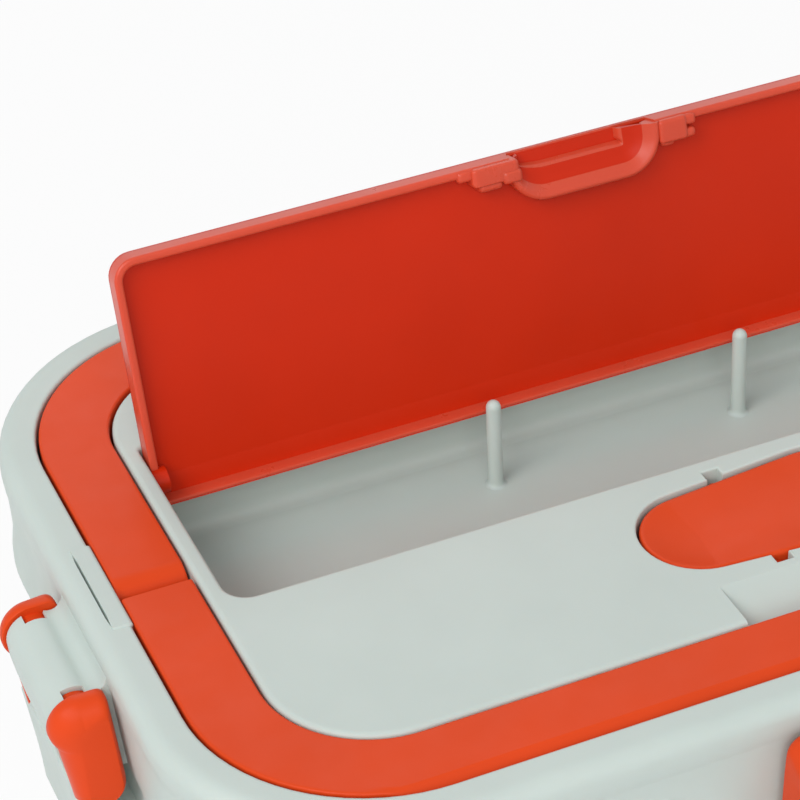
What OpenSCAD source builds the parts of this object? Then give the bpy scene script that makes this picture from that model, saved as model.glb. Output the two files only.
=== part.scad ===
// Electric lunch box with a lift-off lid, a cutlery recess and four side latches.
// Origin at the middle of the bottom, +X to the right, +Y to the rear, +Z up.

/* [Box] */
// Height of the whole box with its cover shut
box_h = 110; // [104:1:120]
// Least width of the lid's rim from left to right, which a longer recess widens
lid_w = 219; // [212:1:232]
// Depth of the lid's rim from front to rear
lid_d = 148; // [142:1:160]
// Corner radius of the lid's rim
lid_r = 38.7; // [37:0.1:42]
// Height of the lid from its skirt's edge to its top
lid_h = 23.8; // [23.6:0.1:26]
// Gap between the lid's skirt and the base
lid_gap = 0.2; // [0.1:0.05:0.4]

/* [Lid shell] */
// Width of the flat rim outside the handle groove
rim_w = 6.7; // [6:0.1:8]
// Height of the rim's roll
rim_roll = 5; // [4:0.1:5.2]
// How far the skirt steps in below the roll
skirt_step = 0.4; // [0.3:0.1:0.8]
// How far the skirt leans in down to its edge
skirt_lean = 1.3; // [1:0.1:1.8]
// Wall of the lid
lid_wall = 2.2; // [1.8:0.1:2.6]
// Depth of the handle groove
groove_depth = 9.3; // [9.2:0.1:10]

/* [Cutlery recess] */
// Length of the recess
recess_w = 172.8; // [166:0.2:173]
// Width of the recess
recess_d = 46.4; // [42:0.2:47]
// Depth of the recess
recess_h = 20.7; // [18:0.1:20.8]
// How far the recess's front edge lies in front of the middle
recess_front = 12.9; // [12:0.1:13.5]
// Corner radius of the recess at its front
recess_r = 4.6; // [3:0.1:6]
// Corner radius of the recess at its rear, where the cover's ends turn
recess_rear_r = 1; // [0.6:0.1:1.2]
// Radius of a cutlery post
post_r = 1.4; // [1.2:0.1:2]
// How far each post stands from the middle
post_x = 24.5; // [20:0.5:35]
// Where the posts stand from front to rear
post_y = 21.5; // [14:0.5:22]
// Gap between a post's top and the lid's top
post_drop = 2.4; // [2.2:0.1:4]

/* [Cutlery cover] */
// Thickness of the cover's plate
cover_t = 1.8; // [1.4:0.1:2]
// Depth of the cover's rim, with the plate
cover_rim_h = 4.6; // [4.2:0.1:5]
// Thickness of the cover's rim
cover_rim_t = 1.5; // [1.2:0.1:2]
// Gap round the cover at its front and ends
cover_gap = 0.4; // [0.3:0.05:0.6]
// How deep the cover's hinge axis lies
hinge_drop = 4; // [3.8:0.1:4.2]
// Distance from the hinge axis to the recess's rear wall
hinge_back = 5.5; // [5.4:0.1:6]
// Angle at which the cover stands open
cover_open = 105; // [90:1:105]
// Radius of the cover's hinge stubs
hinge_pin_r = 1.5; // [1.2:0.1:1.6]
// Length of each hinge stub past the cover's end
hinge_pin_l = 2.2; // [1.6:0.1:2.4]
// Half the width of the finger scoop
scoop_x = 14.5; // [12:0.5:18]
// Depth of the finger scoop from the free edge
scoop_y = 10; // [8:0.5:12]
// How far the scoop's wall stands in from the plate
scoop_h = 5.2; // [4:0.1:6]
// Length of each snap tab beside the scoop
tab_l = 10.5; // [8:0.5:12]

/* [Handles] */
// Width of a handle bar
handle_w = 12.3; // [12:0.1:13]
// Gap between a handle and its groove's walls
handle_gap = 0.5; // [0.4:0.05:0.7]
// Height of a handle bar
handle_h = 8.7; // [8.2:0.1:8.8]
// Chamfer along the bar's top edges
handle_chamfer = 0.6; // [0.4:0.1:1]
// Wider chamfer along the front bar's outer edge
front_chamfer = 1.8; // [1.2:0.1:2.4]
// Where the rear handle's axis lies
rear_pivot_y = 1.5; // [1:0.1:3]
// Depth of the front handle's axis
front_pivot_drop = 3; // [2.8:0.1:3.2]
// Where the front handle's axis lies
front_pivot_y = -9; // [-11:0.1:-9]
// Where the front handle's cut ends lie
front_end_y = -4.5; // [-5.2:0.1:-4.5]
// Radius of a handle's pivot stubs
handle_pin_r = 2; // [1.6:0.1:2.2]
// Length of a handle's pivot stubs
handle_pin_l = 2.5; // [2:0.1:2.6]
// Half the length of the flexing pad at the handle pivots
pad_y = 11; // [10:0.5:13]

/* [Latches] */
// Width of the boss that carries a latch
boss_w = 23; // [20:0.5:26]
// Width of each of a latch's ears
ear_w = 4.6; // [4:0.1:6]
// Gap between an ear and its boss
ear_gap = 0.4; // [0.3:0.05:0.6]
// Radius of an ear's round top
ear_r = 5.4; // [5.2:0.1:5.6]
// How far the left and right latches lie in front of the middle
side_latch_y = 5.5; // [0:0.5:10]
// How far the front and rear latches lie to the left of the middle
long_latch_x = 3; // [0:0.5:10]
// How far the latch's axis stands out from the rim
latch_out = 5.5; // [5.4:0.1:6]
// How deep the latch's axis lies below the lid's top
latch_drop = 10.4; // [10.2:0.1:10.8]
// Radius of a latch pin
latch_pin_r = 1.5; // [1.2:0.1:1.6]
// Height of a latch from its axis to its lower edge
latch_h = 36.5; // [36:0.5:40]
// Thickness of the latch's plate
latch_t = 2.6; // [2.2:0.1:3]
// How far the hook stands clear of its catch when released
hook_clear = 0.4; // [0.35:0.05:0.6]
// Height of the hook
hook_h = 3; // [2.5:0.1:4]

/* [Steam vent] */
// Radius of the lever's pressed end
lever_r = 10; // [9:0.1:10.5]
// Radius of the lever's round head
head_r = 12; // [11:0.1:12.2]
// Where the middle of the pressed end lies
lever_x = -10.2; // [-13:0.1:-9]
// Where the middle of the head lies
head_x = 14; // [13:0.1:18]
// How far the lever's middle line lies in front of the middle
lever_y = 29.3; // [29:0.1:30]
// Height of the lever
lever_h = 5.4; // [5:0.1:5.6]
// Gap round the lever in its well
lever_gap = 0.5; // [0.4:0.05:0.7]
// Where the lever's axis lies
lever_pivot_x = -1.5; // [-2:0.1:-1]
// Radius of the lever's pivot stubs
lever_pin_r = 1.2; // [1:0.1:1.3]
// Depth of the lever's well
well_depth = 9; // [8.8:0.1:10]
// Radius of the vent hole
vent_r = 2; // [1.5:0.1:2.5]

/* [Base] */
// How far the base's top stands in from the rim
base_inset = 2.4; // [2.2:0.1:3]
// How far the base leans in down to its foot
base_lean = 3.2; // [2:0.1:4]
// Wall of the outer shell
base_wall = 2.2; // [1.8:0.1:2.6]
// Height of the rubber feet below the shell
foot_h = 2.5; // [2:0.1:4]
// Radius of a foot
foot_r = 7; // [5:0.5:8]
// Wall of the inner tub
tub_wall = 1.2; // [0.8:0.1:1.6]
// Gap between the tub and the shell's foot
tub_gap = 1; // [0.8:0.1:2]
// Height of the tub's floor above the table
tub_floor_z = 28; // [26:0.5:30]
// Half the width of a latch's catch
catch_x = 13; // [10:0.5:14]
// How far the catch stands out from the shell
catch_out = 2.1; // [1.8:0.1:2.6]
// Height of the catch
catch_h = 3.6; // [3:0.1:5]

/* [Heater and socket] */
// Length of the heating plate
plate_w = 120; // [90:1:130]
// Depth of the heating plate
plate_d = 76; // [50:1:84]
// Thickness of the heating plate
plate_t = 2; // [1.5:0.1:3]
// Length of the ceramic heater
ptc_w = 60; // [40:1:70]
// Width of the ceramic heater
ptc_d = 20; // [14:0.5:24]
// Thickness of the ceramic heater
ptc_t = 3; // [2.5:0.1:4]
// Width of the inlet socket's face
socket_w = 23; // [20:0.5:27]
// Height of the inlet socket's face
socket_h = 15; // [13:0.5:17]
// Depth of the inlet socket
socket_l = 16; // [14:0.5:20]
// Height of the socket's middle above the table
socket_z = 15.5; // [14.5:0.5:17]
// Radius of a socket's pin
socket_pin_r = 1.2; // [1:0.1:1.3]
// Radius of the indicator lens
lens_r = 2.5; // [2:0.1:4]

/* [Containers] */
// Gap between the containers and the tub
box_gap = 1.2; // [1:0.1:2]
// Wall of the steel food container
steel_t = 0.8; // [0.6:0.1:1.2]
// Wall of the plastic side box
side_t = 1.6; // [1.2:0.1:2]
// Share of the tub's length that the side box fills
side_w = 62; // [50:1:80]
// Height of both containers
container_h = 54; // [40:1:54]

/* [Hidden] */
$fn = 48;
eps = 0.01;
// Clearances: in a bearing, between pieces that rest on one another, and round a screw
run_fit = 0.05;
seat_gap = 0.1;
screw_fit = 0.3;
top = box_h;
// The lid is wide enough for the recess, its end walls, a land, the grooves and the rims
recess_wall = 1.8;
recess_land = 1.3;
full_w = max(lid_w, recess_w + 2 * (recess_wall + recess_land + handle_w + 2 * handle_gap + rim_w));
// Middles of the lid's corners, which every shell and bar shares
cx = full_w / 2 - lid_r;
cy = lid_d / 2 - lid_r;
// Radii about those middles
groove_out = lid_r - rim_w;
groove_in = groove_out - handle_w - 2 * handle_gap;
skirt_top_r = lid_r - skirt_step;
skirt_edge_r = skirt_top_r - skirt_lean;
lid_edge_z = top - lid_h;
edge_c = 0.7;
skirt_z = top - rim_roll - edge_c;
panel_lap = 3;
lid_floor_z = top - groove_depth - lid_wall;

recess_rear = recess_d - recess_front;
recess_z = top - recess_h;
hinge_y = recess_rear - hinge_back;
hinge_z = top - hinge_drop;
cover_x = recess_w / 2 - cover_gap;
cover_front = -recess_front + cover_gap;
cover_back_gap = 0.5;
cover_heel_r = hinge_back - cover_back_gap;
cover_heel_in = 2.4;
cover_r = 3;
lobe_r = 2.9;
lobe_t = 3;
scoop_t = 1.2;
scoop_r = 6;
tab_h = 1.8;
tab_d = 3;
post_z = top - post_drop;

rear_pivot_z = top - handle_h / 2;
front_pivot_z = top - front_pivot_drop;
heel_gap = 0.25;
heel_r = groove_depth - front_pivot_drop - heel_gap;
pad_t = 3.1;
slit_w = 0.6;
slit_h = 6;
finger_x = 14.5;
finger_y = 9.8;
finger_h = 6;
finger_wall = 2.2;

latch_z = top - latch_drop;
boss_h = 23;
boss_lean = 2;
// How far a boss's round nose lies inside the ears' round tops
boss_back = 0.65;
boss_nose_r = ear_r - boss_back;
boss_root = 2;
boss_foot = 3;
ear_y = boss_w / 2 + ear_gap;
latch_y = ear_y + ear_w;
latch_foot_z = latch_z - latch_h;
// Gap between an ear's lower end and the skirt's edge
cheek_gap = 1;
cheek_in = skirt_edge_r - lid_r + cheek_gap;
plate_gap = 1.6;
// Where the ears' outer edge leaves the round top, below the axis
ear_turn = 40;
plate_top_z = top - boss_h - plate_gap;
catch_face = catch_out - base_inset;
catch_drop = 36.7;
catch_z = top - catch_drop;
hook_play = 0.6;
hook_z = catch_z - hook_play;
pin_end = 1.2;

lever_top = top - 0.4;
lever_z = lever_top - lever_h;
lever_pin_z = top - 3.4;
lever_pin_over = 0.3;
lever_pin_y = head_r + lever_pin_over;
notch_w = 3;
dish_r = 40;
dish_h = 1.3;
well_z = top - well_depth;
nozzle_h = 2;
nozzle_r = 4;
plug_r = 4.6;

liner_t = 1.5;
liner_z = recess_z - recess_wall - lid_gap - liner_t;
liner_r = 25.5;
liner_out_r = skirt_edge_r - lid_wall - seat_gap;
liner_rise = 3.6;
liner_rim_z = liner_z + liner_rise;
gasket_lift = 0.15;
gasket_back = 0.6;

base_z = foot_h;
base_top = lid_edge_z - lid_gap;
base_r = lid_r - base_inset;
base_foot_r = base_r - base_lean;
base_in_r = base_foot_r - base_wall;
base_c = 1.6;
ledge_t = 2;
ledge_h = 2.8;
tub_r = base_in_r - tub_gap;
tub_in_r = tub_r - tub_wall;
tub_flange_t = tub_wall;
tub_fit = 0.2;
tub_flange_r = base_r - base_wall - tub_fit;
gasket_in_r = tub_in_r - tub_fit;
gasket_out_r = tub_flange_r - gasket_back;
cover_plate_t = 2.2;
cover_fit = 0.2;
screw_boss_r = 4.2;
screw_boss_gap = 3;
screw_boss_z = tub_floor_z - screw_boss_gap;
screw_boss_sink = 0.4;
screw_at = (base_in_r - screw_boss_r + screw_boss_sink) * sin(45);
screw_x = cx + screw_at;
screw_y = cy + screw_at;
screw_r = 1.25;
screw_head_r = 2.8;
screw_head_h = 1.6;
screw_l = 10;

heat_z = tub_floor_z - plate_t;
ptc_z = heat_z - ptc_t;
clamp_t = 1.2;
clamp_x = 42;
clamp_col_r = 3;
clamp_w = 12;
stat_in = 14;
stat_x = -plate_w / 2 + stat_in;
stat_y = 26;
stat_r = 7.5;
stat_h = 6;
fuse_r = 1.8;
fuse_l = 12;
fuse_y = 26;
fuse_x = 10;
fuse_z = heat_z - fuse_r - seat_gap;
lead_r = 1.1;
lead_sides = 12;
lead_z = 12;
// Straight stretch at a lead's end, and where the leads turn up to the inlet
lead_end = 4;
lead_bend_y = 38;
tag_y = 8;
tag_l = 5;
tag_w = 3;
tag_t = 0.6;
tag_up = 1;
blade_l = 3;
blade_z = heat_z - stat_h - blade_l;
blade_x = stat_r / 2;

socket_x = 52;
socket_lip = 1.6;
socket_lip_t = 1.6;
socket_fit = 0.2;
socket_wall = 2.6;
socket_deep = 12;
socket_pin_x = 4.3;
socket_pin_l = 6;
socket_tail = 3;
socket_face_y = cy + base_foot_r + base_lean * (socket_z + socket_h / 2 + socket_lip - base_z)
    / (base_top - base_z) + socket_lip_t + run_fit;
socket_back_y = socket_face_y - socket_l;
lens_z = socket_z;
lens_flange = 1.2;
lens_flange_r = lens_r + lens_flange;
lens_flange_t = 1;
led_r = 1.5;
led_l = 4;
lens_back_y = -cy - base_r_at(lens_z - lens_flange_r) + base_wall + lens_flange_t + seat_gap;

box_r = tub_in_r - box_gap;
box_z = tub_floor_z + tub_wall + seat_gap;
box_split = cx + box_r - side_w;
lip_out = 0.8;
lip_t = 1;
lip_gap = 0.4;
box_space = 2 * lip_out + lip_gap;
box_corner = 8;

// Radius of the base's outer face about the corner middles, at a height
function base_r_at(z) = base_foot_r + base_lean * (z - base_z) / (base_top - base_z);
// Radius of the skirt's outer face at a height
function skirt_r_at(z) = skirt_edge_r + skirt_lean * (z - lid_edge_z) / (skirt_z - lid_edge_z);

// A profile of [distance from the corner middle, height] points, taken round all four sides
module sweep_ring(points) {
    for (i = [0:3]) {
        half = i % 2 == 0 ? cy : cx;
        out = i % 2 == 0 ? cx : cy;
        rotate([0, 0, 90 * i])
            translate([out, half, 0]) {
                rotate_extrude(angle = 90) polygon(points);
                rotate([90, 0, 0]) linear_extrude(2 * half) polygon(points);
            }
    }
}

// A flat plate with the box's own corners, out to a radius about the corner middles
module plate(r, z, h) {
    translate([0, 0, z]) linear_extrude(h) round_rect(2 * (cx + r), 2 * (cy + r), r);
}

module round_rect(w, d, r) {
    square([w - 2 * r, d], center = true);
    square([w, d - 2 * r], center = true);
    for (x = [-1, 1], y = [-1, 1])
        translate([x * (w / 2 - r), y * (d / 2 - r)]) circle(r);
}

// A rectangle from one low corner to a high one, with round corners
module round_box(low, high, r, z, h) {
    translate([(low[0] + high[0]) / 2, (low[1] + high[1]) / 2, z])
        linear_extrude(h) round_rect(high[0] - low[0], high[1] - low[1], r);
}

// Places its child at the latch of one side: 0 right, 1 rear, 2 left, 3 front
module on_side(i) {
    out = i % 2 == 0 ? full_w / 2 : lid_d / 2;
    along = [-side_latch_y, long_latch_x, side_latch_y, -long_latch_x][i];
    rotate([0, 0, 90 * i]) translate([out, along, 0]) children();
}

// A [distance outwards, height] outline, made w wide along the side
module along_side(w) {
    translate([0, w / 2, 0]) rotate([90, 0, 0]) linear_extrude(w) children();
}

module rod_x(r, x0, x1, y, z) {
    translate([x0, y, z]) rotate([0, 90, 0]) cylinder(h = x1 - x0, r = r);
}

module rod_y(r, y0, y1, x, z) {
    translate([x, y0, z]) rotate([-90, 0, 0]) cylinder(h = y1 - y0, r = r);
}

// ---- Lid ----

module lid_ring() {
    sweep_ring([
        [groove_out, top], [lid_r - 3 * edge_c, top], [lid_r - edge_c, top - edge_c],
        [lid_r, top - 3 * edge_c], [lid_r, top - rim_roll], [skirt_top_r, skirt_z],
        [skirt_edge_r, lid_edge_z], [skirt_edge_r - lid_wall, lid_edge_z],
        [skirt_r_at(lid_floor_z) - lid_wall, lid_floor_z],
        [groove_in - lid_wall, lid_floor_z], [groove_in - lid_wall, top - lid_wall],
        [groove_in - panel_lap, top - lid_wall], [groove_in - panel_lap, top],
        [groove_in, top], [groove_in, top - groove_depth], [groove_out, top - groove_depth]
    ]);
}

// The recess, with round corners at its front and nearly square ones at its rear
module recess_shape(grow, z, h) {
    low = [-recess_w / 2 - grow, -recess_front - grow];
    high = [recess_w / 2 + grow, recess_rear + grow];
    round_box(low, high, recess_r + grow, z, h);
    round_box([low[0], 0], high, recess_rear_r + grow, z, h);
}

// The lever's outline: two circles and the straight sides that touch both
module lever_outline(grow) {
    d = head_x - lever_x;
    s = (head_r - lever_r) / d;
    c = sqrt(1 - s * s);
    a = lever_r + grow;
    b = head_r + grow;
    translate([lever_x, -lever_y]) circle(a);
    translate([head_x, -lever_y]) circle(b);
    translate([0, -lever_y])
        polygon([[lever_x - a * s, a * c], [head_x - b * s, b * c],
            [head_x - b * s, -b * c], [lever_x - a * s, -a * c]]);
}

module lever_well(grow, z) {
    translate([0, 0, z]) linear_extrude(top - z) lever_outline(lever_gap + grow);
}

module boss_outline() {
    polygon([
        [-boss_root, -rim_roll - edge_c / 2], [latch_out, -latch_drop + boss_nose_r],
        [latch_out + boss_nose_r, -latch_drop], [latch_out + boss_nose_r - boss_lean, -boss_h],
        [-boss_foot, -boss_h]
    ]);
    translate([latch_out, -latch_drop]) circle(boss_nose_r);
}

module lid_solids() {
    lid_ring();
    plate(groove_in - panel_lap + 1, top - lid_wall, lid_wall);
    recess_shape(recess_wall, recess_z - recess_wall, recess_h + recess_wall);
    lever_well(lid_wall, well_z - lid_wall);
    translate([head_x, -lever_y, liner_z + liner_t + lid_gap])
        cylinder(h = well_z - liner_z - liner_t - lid_gap, r = nozzle_r);
    translate([-finger_x - finger_wall, -cy - groove_in, lid_floor_z])
        cube([2 * (finger_x + finger_wall), finger_y + finger_wall, top - lid_floor_z]);
}

module lid_cuts() {
    recess_shape(0, recess_z, recess_h + 1);
    lever_well(0, well_z);
    translate([0, 0, top - eps]) linear_extrude(1) lever_outline(lever_gap);
    // Notches for the lever's pivot stubs, open at the top
    notch_l = lever_pin_y + lever_gap;
    translate([lever_pivot_x - notch_w / 2, -lever_y - notch_l, lever_pin_z - lever_pin_r - run_fit])
        cube([notch_w, 2 * notch_l, lever_h]);
    // Finger hollow that runs down into the handle groove
    translate([-finger_x, 0, 0]) rotate([90, 0, 90]) linear_extrude(2 * finger_x)
        polygon([[-cy - groove_in + finger_y, top + 1], [-cy - groove_in + finger_y, top],
            [-cy - groove_in - eps, top - finger_h], [-cy - groove_in - eps, top + 1]]);
    // Hinge sockets for the cutlery cover and the two handles
    for (s = [-1, 1]) {
        hole_x(hinge_pin_r + run_fit, s, cover_x, hinge_pin_l + run_fit, hinge_y, hinge_z);
        hole_x(handle_pin_r + run_fit, s, cx + groove_out - handle_gap, handle_pin_l + run_fit,
            rear_pivot_y, rear_pivot_z);
        hole_x(handle_pin_r + run_fit, s, cx + groove_out - handle_gap, handle_pin_l + run_fit,
            front_pivot_y, front_pivot_z);
        translate([s * (cx + groove_out + pad_t) - slit_w / 2, -pad_y + 1, top - slit_h])
            cube([slit_w, 2 * pad_y - 2, slit_h + 1]);
    }
}

// A socket along X from x0 outwards, on the side s
module hole_x(r, s, x0, l, y, z) {
    rod_x(r, s > 0 ? x0 : -x0 - l, s > 0 ? x0 + l : -x0, y, z);
}

module lid_shell() {
    color([0.83, 0.86, 0.83]) {
        difference() {
            lid_solids();
            lid_cuts();
            translate([head_x, -lever_y, 0]) cylinder(h = top, r = vent_r);
        }
        difference() {
            translate([head_x, -lever_y, well_z]) cylinder(h = nozzle_h, r = nozzle_r);
            translate([head_x, -lever_y, 0]) cylinder(h = top, r = vent_r);
        }
        for (x = [-post_x, post_x])
            translate([x, post_y, recess_z]) {
                cylinder(h = post_z - recess_z - post_r, r = post_r);
                translate([0, 0, post_z - recess_z - post_r]) sphere(post_r);
            }
    }
}

// Bosses that stand out from the lid's skirt, each with the bore of a latch pin
module latch_bosses() {
    color([0.83, 0.86, 0.83]) difference() {
        for (i = [0:3])
            on_side(i) translate([0, 0, top]) along_side(boss_w) boss_outline();
        lid_ring();
        for (i = [0:3])
            on_side(i) rod_y(latch_pin_r + run_fit, -boss_w, boss_w, latch_out, latch_z);
    }
}

module lid_liner() {
    color([0.9, 0.9, 0.88]) difference() {
        union() {
            sweep_ring([
                [liner_r - panel_lap, liner_z], [liner_r, liner_z], [liner_r, liner_rim_z],
                [liner_out_r, liner_rim_z], [liner_out_r, liner_rim_z + liner_t],
                [liner_r - liner_t, liner_rim_z + liner_t], [liner_r - liner_t, liner_z + liner_t],
                [liner_r - panel_lap, liner_z + liner_t]
            ]);
            plate(liner_r - panel_lap + 1, liner_z, liner_t);
        }
        translate([head_x, -lever_y, 0]) cylinder(h = top, r = vent_r);
    }
}

module lid_gasket() {
    z = base_top + gasket_lift;
    color([0.92, 0.92, 0.9])
        sweep_ring([[gasket_in_r, z], [gasket_out_r, z], [gasket_out_r, liner_rim_z],
            [gasket_in_r, liner_rim_z]]);
}

// ---- Cutlery cover, drawn shut and then swung open ----

module cover_plate() {
    intersection() {
        round_box([-cover_x, cover_front], [cover_x, recess_rear + cover_r], cover_r,
            top - cover_t, cover_t);
        translate([-cover_x, cover_front, 0]) cube([2 * cover_x, hinge_y - cover_front, top]);
    }
    // Rolled rear edge, round the hinge axis
    intersection() {
        difference() {
            rod_x(cover_heel_r, -cover_x, cover_x, hinge_y, hinge_z);
            rod_x(cover_heel_in, -cover_x - 1, cover_x + 1, hinge_y, hinge_z);
        }
        translate([-cover_x, hinge_y, hinge_z]) cube([2 * cover_x, cover_heel_r, hinge_drop]);
    }
}

module cover_rim() {
    intersection() {
        difference() {
            round_box([-cover_x, cover_front], [cover_x, recess_rear + cover_r], cover_r,
                top - cover_rim_h, cover_rim_h - cover_t);
            round_box([-cover_x + cover_rim_t, cover_front + cover_rim_t],
                [cover_x - cover_rim_t, recess_rear + cover_r], cover_r - cover_rim_t + 0.5,
                top - cover_rim_h - 1, cover_rim_h);
            translate([-scoop_x, cover_front - 1, top - cover_rim_h - 1])
                cube([2 * scoop_x, cover_r + 1, cover_rim_h + 1 - cover_t]);
        }
        translate([-cover_x, cover_front, 0]) cube([2 * cover_x, hinge_y - cover_front, top]);
    }
}

module cover_scoop() {
    y1 = cover_front + scoop_y;
    intersection() {
        difference() {
            round_box([-scoop_x - scoop_t, cover_front - scoop_r], [scoop_x + scoop_t, y1 + scoop_t],
                scoop_r, top - cover_t - scoop_h, scoop_h);
            round_box([-scoop_x, cover_front - scoop_r - scoop_t], [scoop_x, y1],
                scoop_r - scoop_t, top - cover_t - scoop_h - 1, scoop_h + 1);
        }
        translate([-cover_x, cover_front, 0]) cube([2 * cover_x, recess_d, top]);
    }
    for (s = [-1, 1])
        translate([s * (scoop_x + scoop_t + tab_l / 2), cover_front, top - cover_rim_h]) {
            translate([-tab_l / 2, 0, -tab_h]) cube([tab_l, tab_d, cover_rim_h - cover_t + tab_h]);
            translate([-tab_l / 2, tab_d, -tab_h / 2])
                cube([tab_l * 0.6, tab_d / 2, cover_rim_h - cover_t + tab_h / 2]);
        }
}

module shut_cover() {
    cover_plate();
    cover_rim();
    cover_scoop();
    for (s = [-1, 1]) {
        rod_x(lobe_r, s > 0 ? cover_x - lobe_t : -cover_x, s > 0 ? cover_x : -cover_x + lobe_t,
            hinge_y, hinge_z);
        hole_x(hinge_pin_r, s, cover_x - eps, hinge_pin_l, hinge_y, hinge_z);
    }
}

module cutlery_cover() {
    color([0.82, 0.22, 0.1])
        translate([0, hinge_y, hinge_z]) rotate([-cover_open, 0, 0])
            translate([0, -hinge_y, -hinge_z]) shut_cover();
}

// ---- Handles ----

function bar_points() =
    let (a = groove_in + handle_gap, b = groove_out - handle_gap, z = top - handle_h, c = handle_chamfer)
    [[a, z], [a, top - c], [a + c, top], [b - c, top], [b, top - c], [b, z]];

// Crossbar and corners of a bail, at the rear, with its arms as far as y_end
module bail(y_end) {
    translate([-cx, cy, 0]) rotate([90, 0, 90]) linear_extrude(2 * cx) polygon(bar_points());
    for (s = [0, 1]) mirror([s, 0, 0]) translate([cx, cy, 0]) {
        rotate_extrude(angle = 90) polygon(bar_points());
        rotate([90, 0, 0]) linear_extrude(cy - y_end) polygon(bar_points());
    }
}

module handle_stubs(y, z) {
    for (s = [-1, 1])
        hole_x(handle_pin_r, s, cx + groove_out - handle_gap - eps, handle_pin_l, y, z);
}

module rear_handle() {
    x0 = cx + groove_in + handle_gap;
    x1 = x0 + handle_w;
    c = handle_chamfer;
    r = handle_h / 2;
    color([0.84, 0.3, 0.17]) {
        bail(rear_pivot_y);
        for (s = [0, 1]) mirror([s, 0, 0]) translate([0, rear_pivot_y, rear_pivot_z]) rotate([0, 90, 0]) {
            translate([0, 0, x0 + c]) cylinder(h = handle_w - 2 * c, r = r);
            translate([0, 0, x0]) cylinder(h = c, r1 = r - c, r2 = r);
            translate([0, 0, x1 - c]) cylinder(h = c, r1 = r, r2 = r - c);
        }
        handle_stubs(rear_pivot_y, rear_pivot_z);
    }
}

module front_handle() {
    x0 = cx + groove_in + handle_gap;
    y0 = -cy - groove_out + handle_gap;
    c = front_chamfer;
    color([0.84, 0.3, 0.17]) {
        difference() {
            mirror([0, 1, 0]) bail(-front_pivot_y);
            // Chamfer of the crossbar, which runs out round the corners
            translate([-cx - groove_out, 0, 0]) rotate([90, 0, 90]) linear_extrude(2 * (cx + groove_out))
                polygon([[y0 - 1, top - c - 1], [y0 + c + 1, top + 1], [y0 - 1, top + 1]]);
        }
        // Square-cut ends, with a round heel that turns in the groove
        for (s = [0, 1]) mirror([s, 0, 0]) intersection() {
            translate([0, front_end_y, 0]) rotate([90, 0, 0])
                linear_extrude(front_end_y - front_pivot_y)
                    translate([cx, 0]) polygon(bar_points());
            rod_x(heel_r, x0 - 1, x0 + handle_w + 1, front_pivot_y, front_pivot_z);
        }
        handle_stubs(front_pivot_y, front_pivot_z);
    }
}

// ---- Steam vent ----

module vent_lever() {
    color([0.84, 0.3, 0.17]) {
        difference() {
            translate([0, 0, lever_z]) linear_extrude(lever_h) lever_outline(0);
            translate([lever_x, -lever_y, lever_top - dish_h + dish_r]) sphere(dish_r, $fn = 180);
        }
        for (s = [0, 1]) translate([0, -lever_y, 0]) mirror([0, s, 0])
            rod_y(lever_pin_r, lever_r, lever_pin_y, lever_pivot_x, lever_pin_z);
    }
}

module vent_plug() {
    z = well_z + nozzle_h + seat_gap;
    color([0.9, 0.9, 0.88]) translate([head_x, -lever_y, z]) cylinder(h = lever_z - z, r = plug_r);
}

// ---- Latches ----

// The ears' outline, round at the axis, running down beside the skirt and in to the plate
module ear_outline() {
    low = plate_top_z - top;
    foot = low - latch_t;
    translate([latch_out, -latch_drop]) circle(ear_r);
    polygon([
        [latch_out + ear_r * cos(ear_turn), -latch_drop - ear_r * sin(ear_turn)],
        [plate_out(low), low], [plate_out(foot), foot], [plate_out(foot) - latch_t, foot],
        [cheek_in, low], [latch_out - ear_r, -latch_drop]
    ]);
}

// Outer face of the latch's plate at a depth below the lid's top, which continues the boss's
plate_knots = [
    [plate_top_z - top, latch_out + 2.6],
    [hook_z - top + hook_h, latch_out + 1.5],
    [hook_z - top - hook_h, latch_out + 0.9],
    [latch_foot_z - top, latch_out + 0.6]
];
function plate_out(z) = lookup(z, plate_knots);

module plate_outline() {
    outer = [for (k = plate_knots) [k[1], k[0]]];
    inner = [for (i = [3:-1:0]) [plate_knots[i][1] - latch_t, plate_knots[i][0]]];
    polygon(concat(outer, inner));
    // Hook that reaches in under the catch
    translate([catch_face + hook_clear, hook_z - top - hook_h])
        square([plate_out(hook_z - top) - latch_t / 2 - catch_face - hook_clear, hook_h]);
}

module latch(i) {
    color([0.84, 0.3, 0.17]) on_side(i) translate([0, 0, top]) difference() {
        union() {
            for (s = [-1, 1]) translate([0, s * (ear_y + ear_w / 2), 0]) along_side(ear_w) ear_outline();
            along_side(2 * latch_y) plate_outline();
        }
        rod_y(latch_pin_r + run_fit, -latch_y + pin_end, latch_y + 1, latch_out, -latch_drop);
    }
}

module latch_right() { latch(0); }

module latch_rear() { latch(1); }

module latch_left() { latch(2); }

module latch_front() { latch(3); }

module latch_pins() {
    color("silver") for (i = [0:3])
        on_side(i) rod_y(latch_pin_r, -latch_y + pin_end + run_fit, latch_y - pin_end, latch_out, latch_z);
}

// ---- Base ----

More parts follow.
